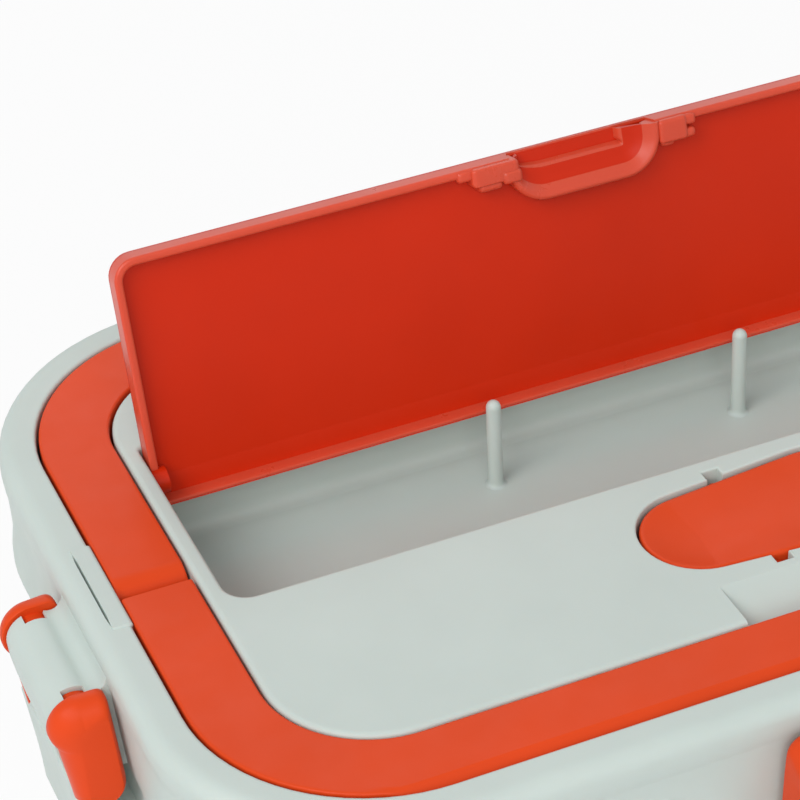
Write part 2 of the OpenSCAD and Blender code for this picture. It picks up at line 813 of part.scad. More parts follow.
module base_shell() {
    ledge_z = base_top - tub_flange_t;
    y1 = cy + base_r;
    color([0.83, 0.86, 0.83]) difference() {
        union() {
            sweep_ring([
                [base_r, base_top], [base_r - base_wall, base_top], [base_r - base_wall, ledge_z],
                [base_r - base_wall - ledge_t, ledge_z],
                [base_r_at(ledge_z - ledge_h) - base_wall, ledge_z - ledge_h],
                [base_in_r, base_z], [base_foot_r - base_c, base_z], [base_foot_r, base_z + base_c]
            ]);
            for (i = [0:3]) on_side(i)
                translate([-base_inset - base_wall, -catch_x, catch_z])
                    cube([base_wall + catch_out, 2 * catch_x, catch_h]);
            for (x = [-1, 1], y = [-1, 1])
                translate([x * screw_x, y * screw_y, base_z + cover_plate_t])
                    cylinder(h = screw_boss_z - base_z - cover_plate_t, r = screw_boss_r);
        }
        for (x = [-1, 1], y = [-1, 1])
            translate([x * screw_x, y * screw_y, 0]) cylinder(h = screw_boss_z - 1, r = screw_r + run_fit);
        translate([socket_x - socket_w / 2 - socket_fit, cy, socket_z - socket_h / 2 - socket_fit])
            cube([socket_w + 2 * socket_fit, y1, socket_h + 2 * socket_fit]);
        rod_y(lens_r + socket_fit, -y1 - 1, -cy, 0, lens_z);
    }
}

module base_cover() {
    color([0.83, 0.86, 0.83]) difference() {
        plate(base_in_r - cover_fit, base_z, cover_plate_t);
        for (x = [-1, 1], y = [-1, 1])
            translate([x * screw_x, y * screw_y, 0]) cylinder(h = box_h / 2, r = screw_r + screw_fit);
    }
}

module cover_screws() {
    color("silver") for (x = [-1, 1], y = [-1, 1])
        translate([x * screw_x, y * screw_y, base_z - screw_head_h]) {
            cylinder(h = screw_head_h, r = screw_head_r);
            cylinder(h = screw_head_h + screw_l, r = screw_r);
        }
}

module feet() {
    color([0.2, 0.2, 0.2]) for (x = [-1, 1], y = [-1, 1])
        translate([x * cx, y * cy, 0]) cylinder(h = foot_h, r = foot_r);
}

module inner_tub() {
    z1 = base_top - tub_flange_t;
    color([0.75, 0.76, 0.77]) {
        sweep_ring([
            [tub_in_r - panel_lap, tub_floor_z], [tub_r, tub_floor_z], [tub_r, z1], [tub_flange_r, z1],
            [tub_flange_r, base_top], [tub_in_r, base_top], [tub_in_r, tub_floor_z + tub_wall],
            [tub_in_r - panel_lap, tub_floor_z + tub_wall]
        ]);
        plate(tub_in_r - panel_lap + 1, tub_floor_z, tub_wall);
    }
}

// ---- Heater ----

module heating_plate() {
    color([0.7, 0.72, 0.74]) difference() {
        translate([0, 0, heat_z]) linear_extrude(plate_t) round_rect(plate_w, plate_d, box_corner);
        for (s = [-1, 1])
            translate([s * clamp_x, 0, 0]) cylinder(h = tub_floor_z + 1, r = screw_r + run_fit);
    }
}

module ptc_heater() {
    color([0.9, 0.88, 0.8]) {
        translate([-ptc_w / 2, -ptc_d / 2, ptc_z]) cube([ptc_w, ptc_d, ptc_t]);
        for (s = [-1, 1])
            translate([s * (ptc_w + tag_l) / 2 - tag_l / 2, tag_y - tag_w / 2, ptc_z + tag_up])
                cube([tag_l, tag_w, tag_t]);
    }
}

module heater_clamp() {
    color([0.7, 0.72, 0.74]) difference() {
        union() {
            translate([-clamp_x - clamp_w / 2, -clamp_w / 2, ptc_z - clamp_t])
                cube([2 * clamp_x + clamp_w, clamp_w, clamp_t]);
            for (s = [-1, 1])
                translate([s * clamp_x, 0, ptc_z]) cylinder(h = ptc_t, r = clamp_col_r);
        }
        for (s = [-1, 1])
            translate([s * clamp_x, 0, 0]) cylinder(h = box_h / 2, r = screw_r + screw_fit);
    }
}

module clamp_screws() {
    color("silver") for (s = [-1, 1])
        translate([s * clamp_x, 0, ptc_z - clamp_t - screw_head_h]) {
            cylinder(h = screw_head_h, r = screw_head_r);
            cylinder(h = screw_head_h + clamp_t + ptc_t + plate_t - seat_gap, r = screw_r);
        }
}

module thermostat() {
    color([0.15, 0.15, 0.16]) translate([stat_x, stat_y, heat_z - stat_h]) {
        cylinder(h = stat_h, r = stat_r);
        for (s = [-1, 1])
            translate([s * blade_x - tag_w / 2, -tag_t / 2, -blade_l]) cube([tag_w, tag_t, blade_l]);
    }
}

module thermal_fuse() {
    color([0.85, 0.83, 0.75]) rod_x(fuse_r, fuse_x - fuse_l / 2, fuse_x + fuse_l / 2, fuse_y, fuse_z);
}

function unit(v) = v / norm(v);

// Points of one ring of a lead, square to the way that it runs there
function lead_ring(points, i) =
    let (last = len(points) - 1,
        before = i > 0 ? unit(points[i] - points[i - 1]) : unit(points[1] - points[0]),
        after = i < last ? unit(points[i + 1] - points[i]) : before,
        way = unit(before + after),
        side = unit(cross(way, abs(way[2]) > 0.9 ? [1, 0, 0] : [0, 0, 1])),
        other = cross(way, side))
    [for (k = [0:lead_sides - 1])
        let (a = 360 * k / lead_sides) points[i] + lead_r * (side * cos(a) + other * sin(a))];

// A lead that runs through the points
module lead(points) {
    n = len(points);
    polyhedron(
        points = [for (i = [0:n - 1]) each lead_ring(points, i)],
        faces = concat(
            [[for (k = [lead_sides - 1:-1:0]) k]],
            [for (i = [0:n - 2], k = [0:lead_sides - 1])
                let (a = i * lead_sides, b = (k + 1) % lead_sides)
                [a + k, a + b, a + lead_sides + b, a + lead_sides + k]],
            [[for (k = [0:lead_sides - 1]) (n - 1) * lead_sides + k]]));
}

module heater_leads() {
    tail_y = socket_back_y - socket_tail - seat_gap;
    left_x = socket_x - socket_pin_x;
    right_x = socket_x + socket_pin_x;
    tag_x = ptc_w / 2 + tag_l + seat_gap;
    tag_z = ptc_z + tag_up + tag_t / 2;
    blade_end_z = blade_z - seat_gap;
    fuse_end = fuse_l / 2 + seat_gap;
    color([0.75, 0.15, 0.12]) {
        // Inlet to the thermal fuse
        lead([[left_x, tail_y, socket_z], [left_x, tail_y - lead_end, socket_z],
            [left_x, lead_bend_y, lead_z], [fuse_x + fuse_end + lead_end, fuse_y, fuse_z],
            [fuse_x + fuse_end, fuse_y, fuse_z]]);
        // Fuse to the thermostat
        lead([[fuse_x - fuse_end, fuse_y, fuse_z], [fuse_x - fuse_end - lead_end, fuse_y, fuse_z],
            [stat_x + blade_x, stat_y, lead_z], [stat_x + blade_x, stat_y, blade_end_z]]);
        // Thermostat to the heater's left tag
        lead([[stat_x - blade_x, stat_y, blade_end_z], [stat_x - blade_x, stat_y, lead_z],
            [-tag_x - lead_end, tag_y, tag_z], [-tag_x, tag_y, tag_z]]);
        // Heater's right tag back to the inlet
        lead([[tag_x, tag_y, tag_z], [tag_x + lead_end, tag_y, tag_z], [right_x, lead_bend_y, lead_z],
            [right_x, tail_y - lead_end, socket_z], [right_x, tail_y, socket_z]]);
    }
}

// ---- Inlet socket and indicator ----

// A block of the socket's width and height, grown all round, from y0 to y1
module socket_block(grow, y0, y1) {
    translate([socket_x - socket_w / 2 - grow, y0, socket_z - socket_h / 2 - grow])
        cube([socket_w + 2 * grow, y1 - y0, socket_h + 2 * grow]);
}

module inlet_socket() {
    color([0.2, 0.2, 0.22]) difference() {
        union() {
            socket_block(0, socket_back_y, socket_face_y);
            socket_block(socket_lip, socket_face_y - socket_lip_t, socket_face_y);
        }
        socket_block(-socket_wall, socket_face_y - socket_deep, socket_face_y + 1);
        for (s = [-1, 1])
            rod_y(socket_pin_r + run_fit, socket_back_y - 1, socket_face_y, socket_x + s * socket_pin_x,
                socket_z);
    }
}

module socket_pins() {
    y1 = socket_face_y - socket_deep + socket_pin_l;
    color("silver") for (s = [-1, 1])
        rod_y(socket_pin_r, socket_back_y - socket_tail, y1, socket_x + s * socket_pin_x, socket_z);
}

module indicator_lens() {
    color([0.9, 0.5, 0.3]) {
        rod_y(lens_r, -cy - base_r_at(lens_z) - 0.5, lens_back_y, 0, lens_z);
        rod_y(lens_flange_r, lens_back_y - lens_flange_t, lens_back_y, 0, lens_z);
    }
}

module indicator_led() {
    color([0.9, 0.3, 0.2]) rod_y(led_r, lens_back_y + 0.1, lens_back_y + 0.1 + led_l, 0, lens_z);
}

// ---- Containers ----

// Outline of a container between x0 and x1, with the box's own corners at the box's end
module container_outline(x0, x1, grow) {
    r = box_corner + grow;
    intersection() {
        round_rect(2 * (cx + box_r + grow), 2 * (cy + box_r + grow), box_r + grow);
        translate([(x0 + x1) / 2, 0])
            round_rect(x1 - x0 + 2 * grow, 2 * (cy + box_r + grow), r);
    }
}

module container(x0, x1, wall) {
    difference() {
        union() {
            translate([0, 0, box_z]) linear_extrude(container_h) container_outline(x0, x1, 0);
            translate([0, 0, box_z + container_h - lip_t]) linear_extrude(lip_t)
                container_outline(x0, x1, lip_out);
        }
        translate([0, 0, box_z + wall]) linear_extrude(container_h) container_outline(x0, x1, -wall);
    }
}

module food_container() {
    color([0.78, 0.79, 0.8])
        container(-cx - box_r - box_corner, box_split - box_space, steel_t);
}

module side_box() {
    color([0.9, 0.9, 0.88]) container(box_split, cx + box_r + box_corner, side_t);
}

lid_shell();
latch_bosses();
lid_liner();
lid_gasket();
cutlery_cover();
rear_handle();
front_handle();
vent_lever();
vent_plug();
latch_right();
latch_rear();
latch_left();
latch_front();
latch_pins();
base_shell();
base_cover();
cover_screws();
feet();
inner_tub();
heating_plate();
ptc_heater();
heater_clamp();
clamp_screws();
thermostat();
thermal_fuse();
heater_leads();
inlet_socket();
socket_pins();
indicator_lens();
indicator_led();
food_container();
side_box();
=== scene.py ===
"""Electric lunch box with a lift-off lid. Lengths are in millimetres, and build() turns them into metres."""

import math
from collections import namedtuple

import bmesh
import bpy
from mathutils import Matrix, Vector
from mathutils.geometry import tessellate_polygon


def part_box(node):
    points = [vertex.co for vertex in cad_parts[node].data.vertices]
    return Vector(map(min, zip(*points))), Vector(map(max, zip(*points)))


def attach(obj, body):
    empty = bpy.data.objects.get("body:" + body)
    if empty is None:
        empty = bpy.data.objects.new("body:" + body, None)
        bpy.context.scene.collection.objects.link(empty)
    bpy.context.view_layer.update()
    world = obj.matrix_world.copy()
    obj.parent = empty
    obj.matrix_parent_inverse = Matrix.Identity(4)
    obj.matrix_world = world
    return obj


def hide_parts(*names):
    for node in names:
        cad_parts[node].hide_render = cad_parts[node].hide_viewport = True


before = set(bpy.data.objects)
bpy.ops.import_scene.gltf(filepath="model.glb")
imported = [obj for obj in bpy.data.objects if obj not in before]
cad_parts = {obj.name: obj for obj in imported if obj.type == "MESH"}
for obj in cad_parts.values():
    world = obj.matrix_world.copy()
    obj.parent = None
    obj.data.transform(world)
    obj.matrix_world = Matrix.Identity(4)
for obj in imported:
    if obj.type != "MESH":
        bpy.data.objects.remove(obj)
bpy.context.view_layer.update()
MM = 0.001

# ---- Sizes of the lid, the same as the frame's ----
# Heights count from the lid's top face. Distances across the rim count from the middle of a corner's arc.

# The folded handles end level with the lid's top face
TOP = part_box("front_handle")[1].z / MM

# Outline, and the middle of its right rear corner
LID_W = 219.0
LID_D = 148.0
CORNER_R = 38.7
CX = LID_W / 2 - CORNER_R
CY = LID_D / 2 - CORNER_R
CORNER_STEPS = 18

# Counter-clockwise, with the latch's place along each side
SIDES = ("right", "rear", "left", "front")
LATCH_ALONG = (-5.5, 3.0, 5.5, -3.0)

# Panel's rounded edge, and the groove for the handles
PANEL_RING = 1.4
PANEL_ROUND = 1.0
PANEL_STEPS = 5
GROOVE_IN = 18.7
GROOVE_OUT = 32.0
GROOVE_Z = -9.3
GROOVE_FILLET = 0.8
GROOVE_LIP = 0.7

# Rim: its roll, and the heights between which it turns in to the skirt
ROLL_R = 3.0
ROLL_STEPS = 8
TURN_IN_Z = (-3.8, -5.6, -7.2)
SKIRT_TOP = 38.3

# Skirt: heights with the distance behind a latch and away from the latches, where its lower edge flares out
SKIRT = (
    (-10.5, 38.04, 38.1),
    (-14.5, 37.73, 38.0),
    (-18.0, 37.45, 38.1),
    (-20.2, 37.28, 38.4),
    (-21.8, 37.16, 38.65),
)
SKIRT_EDGE_R = (37.0, 38.7)
SKIRT_Z = -23.8
SKIRT_ROUND = 0.5
CUT_BACK = 18.0
FLARE_LENGTH = 10.0
FLARE_STEPS = 4

# Underside
WALL = 2.2
UNDER_R = 35.68
UNDER_Z = GROOVE_Z - WALL

# Finger hollow: half its width, where its slope starts, and its depth at the groove
HOLLOW_X = 14.5
HOLLOW_U = 8.9
HOLLOW_Z = -6.0

# Raised pad with a slit, in the rim beside each pair of handle ends
PAD_Y = 11.0
PAD_RAISE = 0.3
PAD_OVERHANG = 0.35
SLIT_U = 35.1
SLIT_Y = 10.2
SLIT_DEEP = 1.6
SLIT_TAPER = 2.5
SLIT_HALF = (0.02, 0.18)

# Cutlery recess and its posts, which narrow to a round end given by angles in radians
RECESS_X = 86.4
RECESS_FRONT = -12.9
RECESS_REAR = 33.5
RECESS_Z = -20.7
RECESS_R = 4.6
RECESS_REAR_R = 1.0
RECESS_LIP = 0.8
RECESS_FOOT = 2.5
RECESS_WALL = 1.8
POST_X = 24.5
POST_Y = 21.5
POST_Z = -2.4
POST_R = 1.4
POST_TIP = 0.96
POST_FOOT = 0.7
POST_FOOT_H = 0.9
POST_ROUND = (0.3, 0.6, 0.9, 1.2, 1.45)

# Vent lever's outline, two circles given by x and radius, with the well, its pivot notches and the nozzle
LEVER_LEFT = (-10.2, 10.0)
LEVER_RIGHT = (14.0, 12.0)
LEVER_Y = -29.3
LEVER_GAP = 0.5
STUB_END = LEVER_RIGHT[1] + 0.3
NOTCH = (-3.0, 0.0)
WELL_Z = -9.0
WELL_LIP = 0.45
NOZZLE_R = 4.0
NOZZLE_H = 2.0


# ---- Mesh helpers ----

def mix(a, b, share):
    """The value that lies share of the way from a to b."""
    return a + (b - a) * share


def clamp(value):
    """The value, held between 0 and 1."""
    return min(1.0, max(0.0, value))


def turns(start, end, steps):
    """Angles from start to end in equal steps, both included."""
    return [start + (end - start) * k / steps for k in range(steps + 1)]


def heading(angle):
    """The unit vector at an angle in radians."""
    return Vector((math.cos(angle), math.sin(angle)))


def curve3(a, b, c, steps=4):
    """Points on the round corner from a to c whose sharp corner is b."""
    points = []
    for i in range(steps + 1):
        t = i / steps
        points.append(tuple((1 - t) ** 2 * p + 2 * t * (1 - t) * q + t * t * r for p, q, r in zip(a, b, c)))
    return points


def rounded(points, radii, steps=4, closed=True):
    """The outline with each corner rounded by its radius."""
    n = len(points)
    out = []
    for i, (b, r) in enumerate(zip(points, radii)):
        if r <= 0 or (not closed and i in (0, n - 1)):
            out.append(tuple(b))
            continue
        a, b, c = Vector(points[i - 1]), Vector(b), Vector(points[(i + 1) % n])
        before = min(r, (a - b).length * 0.49)
        after = min(r, (c - b).length * 0.49)
        out += curve3(b + (a - b).normalized() * before, b, b + (c - b).normalized() * after, steps)
    return out


def grown(outline, distance):
    """The closed counter-clockwise outline, moved outwards."""
    out = []
    n = len(outline)
    for i in range(n):
        a, b, c = (Vector(outline[k % n]) for k in (i - 1, i, i + 1))
        before = Vector(((b - a).y, -(b - a).x)).normalized()
        after = Vector(((c - b).y, -(c - b).x)).normalized()
        miter = before + after
        miter = miter / max(miter.dot(miter) / 2, 0.5)
        out.append((b.x + miter.x * distance, b.y + miter.y * distance))
    return out


class Skin:
    """Collects the points and faces of one piece."""

    def __init__(self):
        self.points = []
        self.faces = []

    def ring(self, points):
        """Adds points and returns their numbers."""
        first = len(self.points)
        self.points += [tuple(p) for p in points]
        return list(range(first, len(self.points)))

    def bridge(self, rings, closed=True):
        """Faces between rings that have as many points each."""
        for a, b in zip(rings, rings[1:]):
            n = len(a)
            for i in range(n if closed else n - 1):
                j = (i + 1) % n
                self.faces.append((a[i], a[j], b[j], b[i]))

    def fill(self, *rings):
        """Flat faces inside the first ring and outside the others."""
        loops = [[Vector(self.points[i]) for i in ring] for ring in rings]
        flat = [i for ring in rings for i in ring]
        for tri in tessellate_polygon(loops):
            self.faces.append(tuple(flat[k] for k in tri))

    def loft(self, rings, closed=True):
        """Faces between rings, with the first and last filled."""
        self.bridge(rings, closed)
        self.fill(rings[0])
        self.fill(rings[-1])

    def cap_ends(self, rings):
        """Flat faces over the two ends of a run of open rings."""
        for k in (0, -1):
            self.fill([ring[k] for ring in rings])

    def rod(self, start, end, radius, sides=24):
        """A round rod from start to end."""
        axis = (Vector(end) - Vector(start)).normalized()
        side = axis.orthogonal().normalized()
        other = axis.cross(side)
        rings = []
        for middle in (start, end):
            spokes = (side * math.cos(a) + other * math.sin(a) for a in turns(0, 2 * math.pi, sides)[:-1])
            rings.append(self.ring(Vector(middle) + spoke * radius for spoke in spokes))
        self.bridge(rings)
        self.faces += [tuple(rings[0]), tuple(rings[1])]

    def prism(self, outline, low, high, place):
        """A closed outline taken from low to high; place(a, b, h) gives the point."""
        self.loft([self.ring(place(a, b, h) for a, b in outline) for h in (low, high)])


def build(name, skin, body, material, replaces=(), bevel=0.0, bevel_steps=3, matrix=None):
    """Makes the mesh object, rounds its edges and binds it to the frame."""
    mesh = bpy.data.meshes.new(name)
    mesh.from_pydata([Vector(p) * MM for p in skin.points], [], skin.faces)
    bm = bmesh.new()
    bm.from_mesh(mesh)
    bmesh.ops.remove_doubles(bm, verts=bm.verts, dist=0.002 * MM)
    bmesh.ops.dissolve_degenerate(bm, edges=bm.edges, dist=0.001 * MM)
    bmesh.ops.recalc_face_normals(bm, faces=bm.faces)
    if matrix is not None:
        bm.transform(matrix)
    bm.to_mesh(mesh)
    bm.free()
    piece = bpy.data.objects.new(name, mesh)
    bpy.context.scene.collection.objects.link(piece)
    mesh.materials.append(material)
    mesh.shade_smooth()
    if bevel:
        edges = piece.modifiers.new("edges", "BEVEL")
        edges.width = bevel * MM
        edges.segments = bevel_steps
        edges.limit_method = "ANGLE"
        edges.angle_limit = math.radians(32)
        edges.harden_normals = False
    else:
        mesh.set_sharp_from_angle(angle=math.radians(38))
    normals = piece.modifiers.new("normals", "WEIGHTED_NORMAL")
    normals.keep_sharp = True
    normals.weight = 60
    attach(piece, body)
    if replaces:
        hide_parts(*replaces)


# ---- Materials ----

def srgb(r, g, b):
    """Linear colour from 8-bit sRGB."""
    return tuple((c / 255 / 12.92) if c < 11 else ((c / 255 + 0.055) / 1.055) ** 2.4 for c in (r, g, b))


def shade(color, factor):
    """The colour, darker or lighter."""
    return tuple(min(1.0, c * factor) for c in color)


class Surface:
    """A material with its nodes, ready for patterns in the object's own space."""

    def __init__(self, name):
        self.material = bpy.data.materials.new(name)
        self.material.use_nodes = True
        self.nodes = self.material.node_tree.nodes
        self.links = self.material.node_tree.links
        self.bsdf = self.nodes["Principled BSDF"]
        self.coords = self.nodes.new("ShaderNodeTexCoord").outputs["Object"]

    def adjust(self, **values):
        """Sets inputs of the shader, with underscores for the spaces in their names."""
        for name, value in values.items():
            self.bsdf.inputs[name.replace("_", " ")].default_value = value

    def stretched(self, scale):
        """The coordinates, scaled by axis."""
        node = self.nodes.new("ShaderNodeMapping")
        node.inputs["Scale"].default_value = scale
        self.links.new(self.coords, node.inputs["Vector"])
        return node.outputs["Vector"]

    def noise(self, coords, scale, detail, roughness):
        """A noise pattern."""
        node = self.nodes.new("ShaderNodeTexNoise")
        node.inputs["Scale"].default_value = scale
        node.inputs["Detail"].default_value = detail
        node.inputs["Roughness"].default_value = roughness
        self.links.new(coords, node.inputs["Vector"])
        return node.outputs["Fac"]

    def drive(self, target, pattern, low, high):
        """Lets a pattern move an input of the shader between two values or colours."""
        node = self.nodes.new("ShaderNodeValToRGB")
        for stop, place, value in zip(node.color_ramp.elements, (0.3, 0.7), (low, high)):
            stop.position = place
            stop.color = (*value, 1) if isinstance(value, tuple) else (value, value, value, 1)
        self.links.new(pattern, node.inputs["Fac"])
        self.links.new(node.outputs["Color"], self.bsdf.inputs[target])

    def bump(self, pattern, strength, distance, base=None):
        """A bump from a pattern, on top of another one."""
        node = self.nodes.new("ShaderNodeBump")
        node.inputs["Strength"].default_value = strength
        node.inputs["Distance"].default_value = distance
        self.links.new(pattern, node.inputs["Height"])
        if base:
            self.links.new(base, node.inputs["Normal"])
        self.links.new(node.outputs["Normal"], self.bsdf.inputs["Normal"])
        return node.outputs["Normal"]


def plastic(name, color, rough, spread, grain=0.035, cloud=28.0, coat=0.0, scatter=0.0, gloss=0.5):
    """Moulded plastic: cloudy colour and gloss, a fine grain and faint sink marks."""
    surface = Surface(name)
    clouds = surface.noise(surface.coords, scale=cloud, detail=4.0, roughness=0.55)
    surface.drive("Base Color", clouds, shade(color, 1 - spread), shade(color, 1 + spread))
    patches = surface.noise(surface.coords, scale=cloud * 5, detail=5.0, roughness=0.6)
    surface.drive("Roughness", patches, rough - 0.05, rough + 0.06)
    sinks = surface.noise(surface.coords, scale=45.0, detail=1.0, roughness=0.3)
    sunk = surface.bump(sinks, strength=0.12, distance=0.0012)
    grains = surface.noise(surface.coords, scale=1800.0, detail=3.0, roughness=0.6)
    surface.bump(grains, strength=grain, distance=0.0004, base=sunk)
    surface.adjust(IOR=1.48, Specular_IOR_Level=gloss)
    if coat:
        surface.adjust(Coat_Weight=coat, Coat_Roughness=0.25)
    if scatter:
        surface.adjust(Subsurface_Weight=scatter, Subsurface_Radius=(1.0, 0.6, 0.4), Subsurface_Scale=0.002)
    return surface.material


def metal(name, color, rough, brushed=(1.0, 60.0, 60.0)):
    """Metal with fine brush lines along the axis that is stretched least."""
    surface = Surface(name)
    lines = surface.noise(surface.stretched(brushed), scale=40.0, detail=4.0, roughness=0.6)
    surface.drive("Base Color", lines, shade(color, 0.9), shade(color, 1.06))
    surface.drive("Roughness", lines, rough - 0.06, rough + 0.1)
    surface.bump(lines, strength=0.06, distance=0.0002)
    surface.adjust(Metallic=1.0)
    return surface.material


PALE = plastic("lid_pale", srgb(196, 207, 201), rough=0.46, spread=0.025, scatter=0.1, gloss=0.3)
HANDLE = plastic("handle_orange", srgb(219, 70, 25), rough=0.40, spread=0.05, gloss=0.16)
ACCENT = plastic("cover_red", srgb(204, 42, 8), rough=0.34, spread=0.08, cloud=14.0, gloss=0.2)
# A lighter, pinker copy of the cover's red: painted highlight on the cover's rim, heel lip, finger pull's lip
# and step, and snap tabs
COVER_PAINTED_HIGHLIGHT = plastic("cover_edge_painted_highlight", srgb(214, 76, 50), rough=0.3, spread=0.08, cloud=14.0, scatter=0.15,
                      gloss=0.36)
SILICONE = plastic("silicone", srgb(226, 226, 220), rough=0.6, spread=0.03, scatter=0.2)
LINER = plastic("liner_white", srgb(224, 226, 222), rough=0.4, spread=0.02)
BLACK = plastic("black_plastic", srgb(34, 34, 36), rough=0.5, spread=0.1)
RUBBER = plastic("foot_rubber", srgb(42, 42, 42), rough=0.75, spread=0.12, grain=0.12)
LEAD = plastic("lead_red", srgb(170, 38, 28), rough=0.55, spread=0.06)
CERAMIC = plastic("heater_film", srgb(214, 196, 142), rough=0.45, spread=0.08)
LENS = plastic("lens_amber", srgb(240, 150, 96), rough=0.16, spread=0.04, coat=0.6, scatter=0.3)
STEEL = metal("steel", (0.62, 0.63, 0.64), rough=0.28)
BRUSHED = metal("container_steel", (0.66, 0.67, 0.68), rough=0.3, brushed=(60.0, 60.0, 1.0))
ALUMINIUM = metal("aluminium", (0.72, 0.73, 0.74), rough=0.36)
BRASS = metal("brass", (0.78, 0.62, 0.33), rough=0.25)

CAD_MATERIALS = (
    (PALE, ("lid_shell", "latch_bosses", "base_shell", "base_cover")),
    (HANDLE, ("rear_handle", "front_handle", "vent_lever", *(f"latch_{side}" for side in SIDES))),
    (ACCENT, ("cutlery_cover",)),
    (SILICONE, ("lid_gasket", "vent_plug")),
    (LINER, ("lid_liner", "side_box")),
    (BLACK, ("inlet_socket", "thermostat")),
    (RUBBER, ("feet",)),
    (LEAD, ("heater_leads",)),
    (CERAMIC, ("ptc_heater",)),
    (LENS, ("indicator_lens", "indicator_led")),
    (STEEL, ("latch_pins", "cover_screws", "heater_clamp", "clamp_screws", "thermal_fuse")),
    (BRUSHED, ("food_container",)),
    (ALUMINIUM, ("inner_tub", "heating_plate")),
    (BRASS, ("socket_pins",)),
)
for material, nodes in CAD_MATERIALS:
    for node in nodes:
        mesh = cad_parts[node].data
        mesh.materials.clear()
        mesh.materials.append(material)


# ---- Lid ----

Stop = namedtuple("Stop", "middle outwards side place in_hollow")


def side_stops(side, half, latch):
    """(place, in the hollow) along one side, in order, wherever the lid's section changes."""
    flares = [CUT_BACK + FLARE_LENGTH * k / FLARE_STEPS for k in range(FLARE_STEPS + 1)]
    outside = {-half, half} | {latch - d for d in flares} | {latch + d for d in flares}
    inside = set()
    if side == "front":
        inside = {-HOLLOW_X, -9.0, -4.0, 0.0, 4.0, 9.0, HOLLOW_X}
        for x in (HOLLOW_X, HOLLOW_X + 0.5, HOLLOW_X + 2.0):
            outside |= {-x, x}
    elif side != "rear":
        for y in (4.0, SLIT_Y - SLIT_TAPER, SLIT_Y, PAD_Y, PAD_Y + 0.3):
            outside |= {-y, y}
    stops = [(place, False) for place in outside] + [(place, True) for place in inside]
    # At the hollow's two walls both stops share a place, and the inner one lies nearer the middle
    return sorted(stops, key=lambda stop: (stop[0], stop[1] == (stop[0] < 0)))


def lid_path():
    """Stops all round the lid, counter-clockwise from the right side's front end."""
    path = []
    for i, side in enumerate(SIDES):
        turn = math.pi / 2 * i
        rotation = Matrix.Rotation(turn, 2)
        half, out = (CX, CY) if side in ("rear", "front") else (CY, CX)
        for place, in_hollow in side_stops(side, half, LATCH_ALONG[i]):
            path.append(Stop(rotation @ Vector((out, place)), heading(turn), side, place, in_hollow))
        middle = rotation @ Vector((out, half))
        for angle in turns(turn, turn + math.pi / 2, CORNER_STEPS)[1:-1]:
            path.append(Stop(middle, heading(angle), "corner", 0.0, False))
    return path


def panel_section(stop):
    """The panel's edge down into the groove, sloping where the stop lies in the finger hollow."""
    slope = HOLLOW_Z / (GROOVE_IN - HOLLOW_U) if stop.in_hollow else 0.0
    by_hollow = stop.side == "front" and abs(stop.place) <= HOLLOW_X
    start = HOLLOW_U if by_hollow else GROOVE_IN - PANEL_RING
    edge = GROOVE_IN - PANEL_ROUND
    points = []
    for k in range(PANEL_STEPS + 1):
        u = mix(start, edge, k / PANEL_STEPS)
        points.append((u, slope * max(0.0, u - HOLLOW_U)))
    z = slope * (GROOVE_IN - HOLLOW_U)
    return points + curve3(points[-1], (GROOVE_IN, z), (GROOVE_IN, z - PANEL_ROUND))[1:]


def groove_section():
    """The groove's floor and its two fillets."""
    a, b, z, r = GROOVE_IN, GROOVE_OUT, GROOVE_Z, GROOVE_FILLET
    return curve3((a, z + r), (a, z), (a + r, z)) + curve3((b - r, z), (b, z), (b, z + r))


def rim_section(stop):
    """The rim from the groove's lip over the pad's slit and the roll to the turn into the skirt."""
    on_pad = stop.side in ("left", "right") and abs(stop.place) <= PAD_Y
    rise = PAD_RAISE if on_pad else 0.0
    lip = GROOVE_OUT - (PAD_OVERHANG if on_pad else 0.0)
    open_share = clamp((SLIT_Y - abs(stop.place)) / SLIT_TAPER) if on_pad else 0.0
    deep = SLIT_DEEP * open_share
    half = mix(*SLIT_HALF, open_share)
    points = curve3((lip, rise - GROOVE_LIP), (lip, rise), (lip + GROOVE_LIP, rise))
    points += [(SLIT_U - half, rise), (SLIT_U - half, rise - deep)]
    points += [(SLIT_U + half, -deep), (SLIT_U + half, 0.0)]
    for angle in turns(0, math.pi / 2, ROLL_STEPS):
        points.append((CORNER_R - ROLL_R + ROLL_R * math.sin(angle), -ROLL_R + ROLL_R * math.cos(angle)))
    start, middle, end = TURN_IN_Z
    return points + curve3((CORNER_R, start), (CORNER_R, middle), (SKIRT_TOP, end), 6)


def skirt_section(stop):
    """The skirt, whose lower edge flares out away from the latches, and the underside."""
    share = 1.0
    if stop.side != "corner":
        away = abs(stop.place - LATCH_ALONG[SIDES.index(stop.side)])
        share = clamp((away - CUT_BACK) / FLARE_LENGTH)
    flare = share * share * (3 - 2 * share)
    edge = mix(*SKIRT_EDGE_R, flare)
    points = [(mix(behind, elsewhere, flare), z) for z, behind, elsewhere in SKIRT]
    points += curve3((edge, SKIRT_Z + SKIRT_ROUND), (edge, SKIRT_Z), (edge - SKIRT_ROUND, SKIRT_Z), 3)
    return points + [(SKIRT_EDGE_R[0] - WALL, SKIRT_Z), (UNDER_R, UNDER_Z)]


def lid_section(stop):
    """The lid's section at a stop: (distance from the corner's middle, height) points."""
    return panel_section(stop) + groove_section() + rim_section(stop) + skirt_section(stop)


